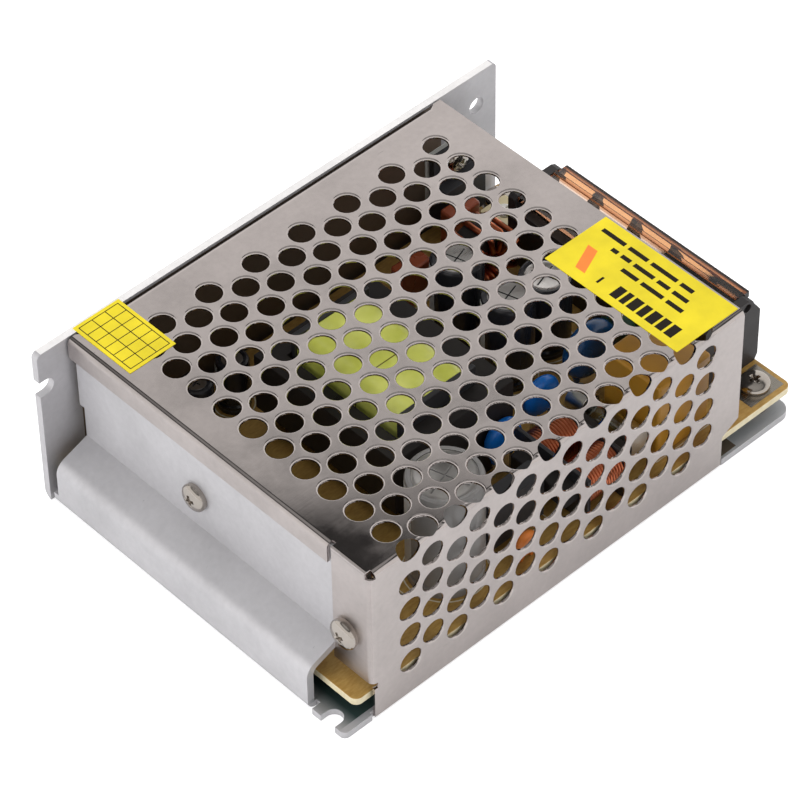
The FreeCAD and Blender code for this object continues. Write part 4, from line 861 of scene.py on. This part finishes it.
def make_discs(node, name, coat):
    """Dipped discs, thick in the middle, on round leads that leave through dipped skirts."""
    parts = []
    for place in solids(node):
        low, high = place
        size = high - low
        upright_x = size.x < size.y
        radius = max(size.x, size.y) / 2
        half = min(size.x, size.y) / 2
        centre = Vector((middle(place).x, middle(place).y, high.z - radius))
        outline = [(0.0, -half)]
        for step in range(1, 12):
            turn = math.pi * step / 12
            outline.append((radius * math.sin(turn) ** 0.35, -half * math.cos(turn)))
        outline.append((0.0, half))
        parts.append((turn_profile(outline, 40), "X" if upright_x else "Y", centre, 0))
        for side in (-0.5, 0.5):
            along = Vector((0, radius * side, 0)) if upright_x else Vector((radius * side, 0, 0))
            foot = centre + along
            parts.append((cylinder(0.35, low.z - foot.z, -radius / 2, 12), "Z", foot, 1))
            skirt = bmesh.new()
            bmesh.ops.create_cone(skirt, cap_ends=True, segments=16, radius1=0.42, radius2=0.95, depth=1.8)
            parts.append((skirt, "Z", foot + Vector((0, 0, -radius * 0.86 - 0.55)), 0))
    add_piece(scaled(merged(parts)), name, [coat, "tin_plating"], "case", [node], 40.0)


def make_axial(node, name, length, coats, bands, waist=1.0):
    """Parts that lie on the board between bent leads, with painted bands."""
    parts = []
    for place in solids(node):
        low, high = place
        across_x = (high.x - low.x) < (high.y - low.y)
        radius = min(high.x - low.x, high.y - low.y) / 2
        run = max(high.x - low.x, high.y - low.y) / 2 - 0.3
        centre = Vector((middle(place).x, middle(place).y, high.z - radius))
        ends = (0.0, 0.12, 0.5, 1.5, 1.9)
        rings = sorted([*ends, *(length - level for level in ends),
                        *(level for band in bands for level in band[:2])])
        outline = [(0.0, 0.0)]
        for level in rings:
            edge = min(level, length - level)
            girth = 0.7 + 0.3 * math.sqrt(min(edge / 0.5, 1.0))
            if 1.7 < edge:
                girth *= waist
            outline.append((radius * girth, level))
        outline.append((0.0, length))
        body = turn_profile(outline, 20)
        for face in body.faces:
            level = face.calc_center_median().z
            face.material_index = 0
            for start, stop, coat in bands:
                if start < level < stop:
                    face.material_index = coat
        axis = Vector((0, 1, 0)) if across_x else Vector((1, 0, 0))
        parts.append((body, "Y" if across_x else "X", centre - axis * length / 2, None))
        for side in (-1, 1):
            foot = centre + axis * run * side
            inner = centre + axis * (length / 2 - 0.4) * side
            corner = [foot + Vector((0, 0, low.z - foot.z)), foot - Vector((0, 0, 0.6)),
                      foot - axis * 0.18 * side - Vector((0, 0, 0.18)), foot - axis * 0.6 * side, inner]
            parts.append((wire_along([corner], 0.3, False), *HERE, 1))
    add_piece(scaled(merged(parts)), name, coats, "case", [node], 40.0)


def round_turn(centre, axis_x, radius, steps=28):
    """Points of one round turn of wire about the X axis."""
    return [(axis_x, centre[0] + radius * math.cos(math.tau * step / steps),
             centre[1] + radius * math.sin(math.tau * step / steps)) for step in range(steps)]


def make_coils():
    """Side by side turns on the two legs of the line choke."""
    parts = []
    for low, high in solids("choke_coils"):
        centre = ((low.y + high.y) / 2, (low.z + high.z) / 2)
        outer = (high.y - low.y) / 2
        count = 13
        pitch = (high.x - low.x) / count
        turns = [round_turn(centre, low.x + pitch * (step + 0.5), outer - pitch / 2) for step in range(count)]
        parts.append((wire_along(turns, pitch / 2 * 0.98), *HERE, 0))
        parts.append((cylinder(outer - pitch * 0.8, 0.05, high.x - low.x - 0.05, 28), "X",
                      (low.x, centre[0], centre[1]), 0))
    add_piece(scaled(merged(parts)), "choke_turns", "copper_wire", "case", ["choke_coils"],
              60.0)


def make_toroid():
    """Heavy turns laid round an upright ring."""
    low, high = corners("toroid_winding")
    centre = (low + high) / 2
    count = 14
    wire = 0.58
    inner, outer = 2.82, (high.x - low.x) / 2 - wire - 0.02
    half = (high.y - low.y) / 2 - wire - 0.01
    turns = []
    for number in range(count):
        path = []
        spin = math.tau * (number + 0.5) / count
        for radius, y, lean in ((inner, -half + 0.5, 0), (inner, half - 0.5, 0), (inner + 0.4, half, 0.02),
                                (outer - 0.5, half, 0.1), (outer, half - 0.5, 0.12),
                                (outer, -half + 0.5, 0.12), (outer - 0.5, -half, 0.1),
                                (inner + 0.4, -half, 0.02)):
            turn = spin + lean
            path.append((centre.x + radius * math.cos(turn), centre.y + y,
                         centre.z + radius * math.sin(turn)))
        turns.append(path)
    add_piece(scaled(wire_along(turns, wire, True, 2)), "toroid_turns", "copper_wire", "case",
              ["toroid_winding"], 60.0)


def make_board_marks():
    """The tinned pad under the corner screw, solder pads and printed outlines on the laminate."""
    base, print_top, pad_top = BOARD_TOP - 0.02, BOARD_TOP + 0.02, BOARD_TOP + 0.03
    seats = sorted(solids("board_screws"), key=lambda place: place[0].x)
    corner = middle(min(seats[2:], key=lambda place: place[0].y))
    pad = cuboid((corner.x - 4.4, corner.y - 3.4, base), (BOARD[1].x - 0.9, corner.y + 3.6, pad_top))
    parts = [(pad, *HERE, 0)]
    for place in seats:
        if abs(middle(place).y - corner.y) > 1 or abs(middle(place).x - corner.x) > 1:
            parts.append((cylinder(3.6, base, pad_top), "Z", (middle(place).x, middle(place).y, 0), 0))
    for node in ("bulk_capacitor", "output_capacitors", "small_capacitors"):
        for place in solids(node):
            spot = middle(place)
            inner = (place[1].x - place[0].x) / 2 + 0.5
            outer = inner + 0.25
            ring = [(inner, base), (outer, base), (outer, print_top), (inner, print_top), (inner, base)]
            parts.append((turn_profile(ring, 40), "Z", (spot.x, spot.y, 0), 1))
    near, far = 0.4, 0.6
    for node in ("control_chip", "optocoupler", "bridge_rectifier", "x_capacitor", "film_capacitors",
                 "trimmer_body", "resistors", "diodes"):
        for low, high in solids(node):
            for x0, x1, y0, y1 in ((low.x - far, high.x + far, low.y - far, low.y - near),
                                   (low.x - far, high.x + far, high.y + near, high.y + far),
                                   (low.x - far, low.x - near, low.y - near, high.y + near),
                                   (high.x + near, high.x + far, low.y - near, high.y + near)):
                parts.append((cuboid((x0, max(y0, BOARD[0].y), base), (x1, y1, print_top)), *HERE, 1))
    add_piece(scaled(merged(parts)), "board_marks", ["pad_tin", "board_print"], "case", ())


def make_rotor():
    """The slotted rotor that turns in the trimmer's seat."""
    low, high = corners("trimmer_rotor")
    place = middle((low, high))
    radius = (high.x - low.x) / 2 - 0.05
    tall = high.z - low.z
    body = turn_profile([(0, 0.02), (radius, 0.02), (radius, tall - 0.14), (radius - 0.14, tall),
                                      (0, tall)], 40)
    piece = add_piece(scaled(merged([(body, "Z", (place.x, place.y, low.z), 0)])), "trimmer_rotor_finished",
                      "white_plastic", "rotor", ["trimmer_rotor"])
    slot = cuboid((low.x - 1, place.y - 0.3, high.z - 0.8), (high.x + 1, place.y + 0.3, high.z + 1))
    carve(piece, scaled(slot))
    ease(piece, 0.05, 50.0)


def board_parts():
    """The parts that show more detail than the model holds."""
    make_rotor()
    make_cans("bulk_capacitor", "bulk_can", "grey_sleeve")
    make_cans("output_capacitors", "output_cans", "black_sleeve")
    make_cans("small_capacitors", "small_cans", "black_sleeve")
    make_discs("y_capacitors", "blue_discs", "blue_dip")
    make_discs("varistor", "surge_disc", "dark_blue_dip")
    make_discs("thermistor", "inrush_disc", "green_dip")
    make_discs("disc_capacitor", "small_disc", "orange_dip")
    make_axial("resistors", "banded_resistors", 8.0,
               ["resistor_coat", "tin_plating", "band_brown", "band_red", "band_gold"],
               ((0.7, 1.25, 2), (2.5, 3.05, 3), (3.6, 4.15, 2), (6.75, 7.3, 4)), 0.86)
    make_axial("diodes", "banded_diodes", 5.2, ["moulded_black", "tin_plating", "can_aluminium"],
               ((0.55, 1.2, 2),))
    make_coils()
    make_toroid()
    make_board_marks()


# Plain pieces straight from the model

def dress_nodes():
    """Coat and edge width of each piece that keeps the model's form."""
    for node, coat, width in (
            ("chassis", "folded_aluminium", 0.18), ("circuit_board", "board_laminate", 0.1),
            ("board_standoffs", "screw_plating", 0.1), ("clamp_nut", "screw_plating", 0.15),
            ("terminal_block", "block_plastic", 0.2), ("terminal_plates", "tin_plating", 0.1),
            ("clamp_washers", "tin_plating", 0.12), ("transformer_core", "ferrite", 0.3),
            ("transformer_bobbin", "bobbin_plastic", 0.15), ("transformer_winding", "winding_tape", 0.2),
            ("x_capacitor", "amber_case", 0.4), ("film_capacitors", "red_case", 0.4),
            ("bridge_rectifier", "moulded_black", 0.3), ("switch_transistor", "moulded_black", 0.2),
            ("output_rectifier", "moulded_black", 0.2), ("transistor_pad", "silicone_pad", 0.03),
            ("rectifier_pad", "silicone_pad", 0.03), ("control_chip", "moulded_black", 0.15),
            ("optocoupler", "moulded_black", 0.15), ("trimmer_body", "cream_plastic", 0.2),
            ("status_led", "green_lens", 0.1), ("choke_core", "ferrite", 0.25),
            ("choke_bobbin", "bobbin_plastic", 0.15), ("toroid_core", "ferrite", 0.2),
            ("fuse_tube", "fuse_glass", 0.05), ("fuse_caps", "tin_plating", 0.1)):
        from_node(node, coat, width)
    from_node("terminal_lid", "lid_plastic", 0.15, "lid")


make_cover()
all_screws()
make_labels()
board_parts()
dress_nodes()


# Studio

def light_card(name, size_x, size_y, place, aim, power):
    """A soft lamp that isn't seen in the metal or through the lid."""
    lamp = bpy.data.lights.new(name, "AREA")
    lamp.shape = "RECTANGLE"
    lamp.size = size_x
    lamp.size_y = size_y
    lamp.energy = power
    item = bpy.data.objects.new(name, lamp)
    item.location = place
    item.rotation_euler = (Vector(aim) - Vector(place)).to_track_quat("-Z", "Y").to_euler()
    item.visible_glossy = False
    item.visible_transmission = False
    bpy.context.scene.collection.objects.link(item)


def ray_kinds(tree):
    """1 for rays that see the white studio directly: camera, and what glass lets through."""
    path = tree.nodes.new("ShaderNodeLightPath")
    seen = arithmetic(tree, "MAXIMUM", path.outputs["Is Camera Ray"], path.outputs["Is Transmission Ray"])
    return seen, path.outputs["Is Glossy Ray"]


ROOM_LEVELS = [(0.0, 1.15), (0.60, 1.08), (0.678, 0.98), (0.705, 0.86), (0.727, 0.73), (0.7335, 0.64),
               (0.7355, 0.05), (0.80, 0.06), (0.85, 0.40), (1.0, 0.55)]


def studio_sky():
    """White behind the part; in reflections a bright room with a dark band under a grey ceiling."""
    world = bpy.data.worlds.new("studio")
    bpy.context.scene.world = world
    world.use_nodes = True
    tree = world.node_tree
    back = tree.nodes["Background"]
    split = tree.nodes.new("ShaderNodeSeparateXYZ")
    join(tree, tree.nodes.new("ShaderNodeTexCoord").outputs["Generated"], split.inputs[0])
    dim_side = arithmetic(tree, "MAXIMUM", arithmetic(tree, "MULTIPLY", split.outputs["X"], -0.13), 0.0)
    height = arithmetic(tree, "ADD", split.outputs["Z"], dim_side)
    ramp = tree.nodes.new("ShaderNodeValToRGB")
    while len(ramp.color_ramp.elements) < len(ROOM_LEVELS):
        ramp.color_ramp.elements.new(0.5)
    for element, (place, level) in zip(ramp.color_ramp.elements, ROOM_LEVELS):
        element.position = place
        element.color = (level, level * 0.985, level * 0.97, 1.0)
    join(tree, height, ramp.inputs["Fac"])
    seen, glossy = ray_kinds(tree)
    tone = blend(tree, glossy, (0.60, 0.60, 0.61), ramp.outputs["Color"])
    tone = blend(tree, seen, tone, (1.0, 1.0, 1.0))
    join(tree, tone, back.inputs["Color"])
    back.inputs["Strength"].default_value = 1.0


def pale_floor():
    """A plain floor that fades into the white behind it."""
    bm = bmesh.new()
    bmesh.ops.create_grid(bm, x_segments=1, y_segments=1, size=3.0)
    mesh = bpy.data.meshes.new("floor")
    bm.to_mesh(mesh)
    bm.free()
    floor = bpy.data.objects.new("floor", mesh)
    bpy.context.scene.collection.objects.link(floor)
    pale = bpy.data.materials.new("pale_floor")
    pale.use_nodes = True
    tree = pale.node_tree
    shader = tree.nodes["Principled BSDF"]
    shader.inputs["Base Color"].default_value = (0.9, 0.9, 0.9, 1.0)
    shader.inputs["Roughness"].default_value = 0.9
    shader.inputs["Emission Color"].default_value = (1, 1, 1, 1)
    seen, glossy = ray_kinds(tree)
    glow = arithmetic(tree, "ADD", arithmetic(tree, "MULTIPLY", seen, 0.5),
                      arithmetic(tree, "MULTIPLY", glossy, 0.12))
    join(tree, glow, shader.inputs["Emission Strength"])
    mesh.materials.append(pale)


def studio():
    studio_sky()
    pale_floor()
    light_card("overhead", 0.9, 0.9, (0.1, 0.25, 1.0), (0, 0, 0), 4.6)
    light_card("left_window", 0.7, 0.7, (-0.95, 0.1, 0.36), (0, 0, 0.02), 4.9)
    light_card("front_fill", 0.9, 0.6, (0.2, -1.0, 0.6), (0, 0, 0.02), 2.8)


LENS = 191.3576
CAMERA_PLACE = (-0.35704225, -0.38214102, 0.55392946)
CAMERA_TURN = Quaternion((0.86057289, 0.35076288, -0.13356232, -0.3442976))


def camera():
    """The photograph's own viewpoint."""
    data = bpy.data.cameras.new("camera")
    data.sensor_width = 36.0
    data.lens = LENS
    data.clip_start = 0.05
    data.clip_end = 20.0
    item = bpy.data.objects.new("camera", data)
    item.location = CAMERA_PLACE
    item.rotation_mode = "QUATERNION"
    item.rotation_quaternion = CAMERA_TURN
    bpy.context.scene.collection.objects.link(item)
    bpy.context.scene.camera = item


studio()
camera()
bpy.context.scene.view_settings.view_transform = "Standard"
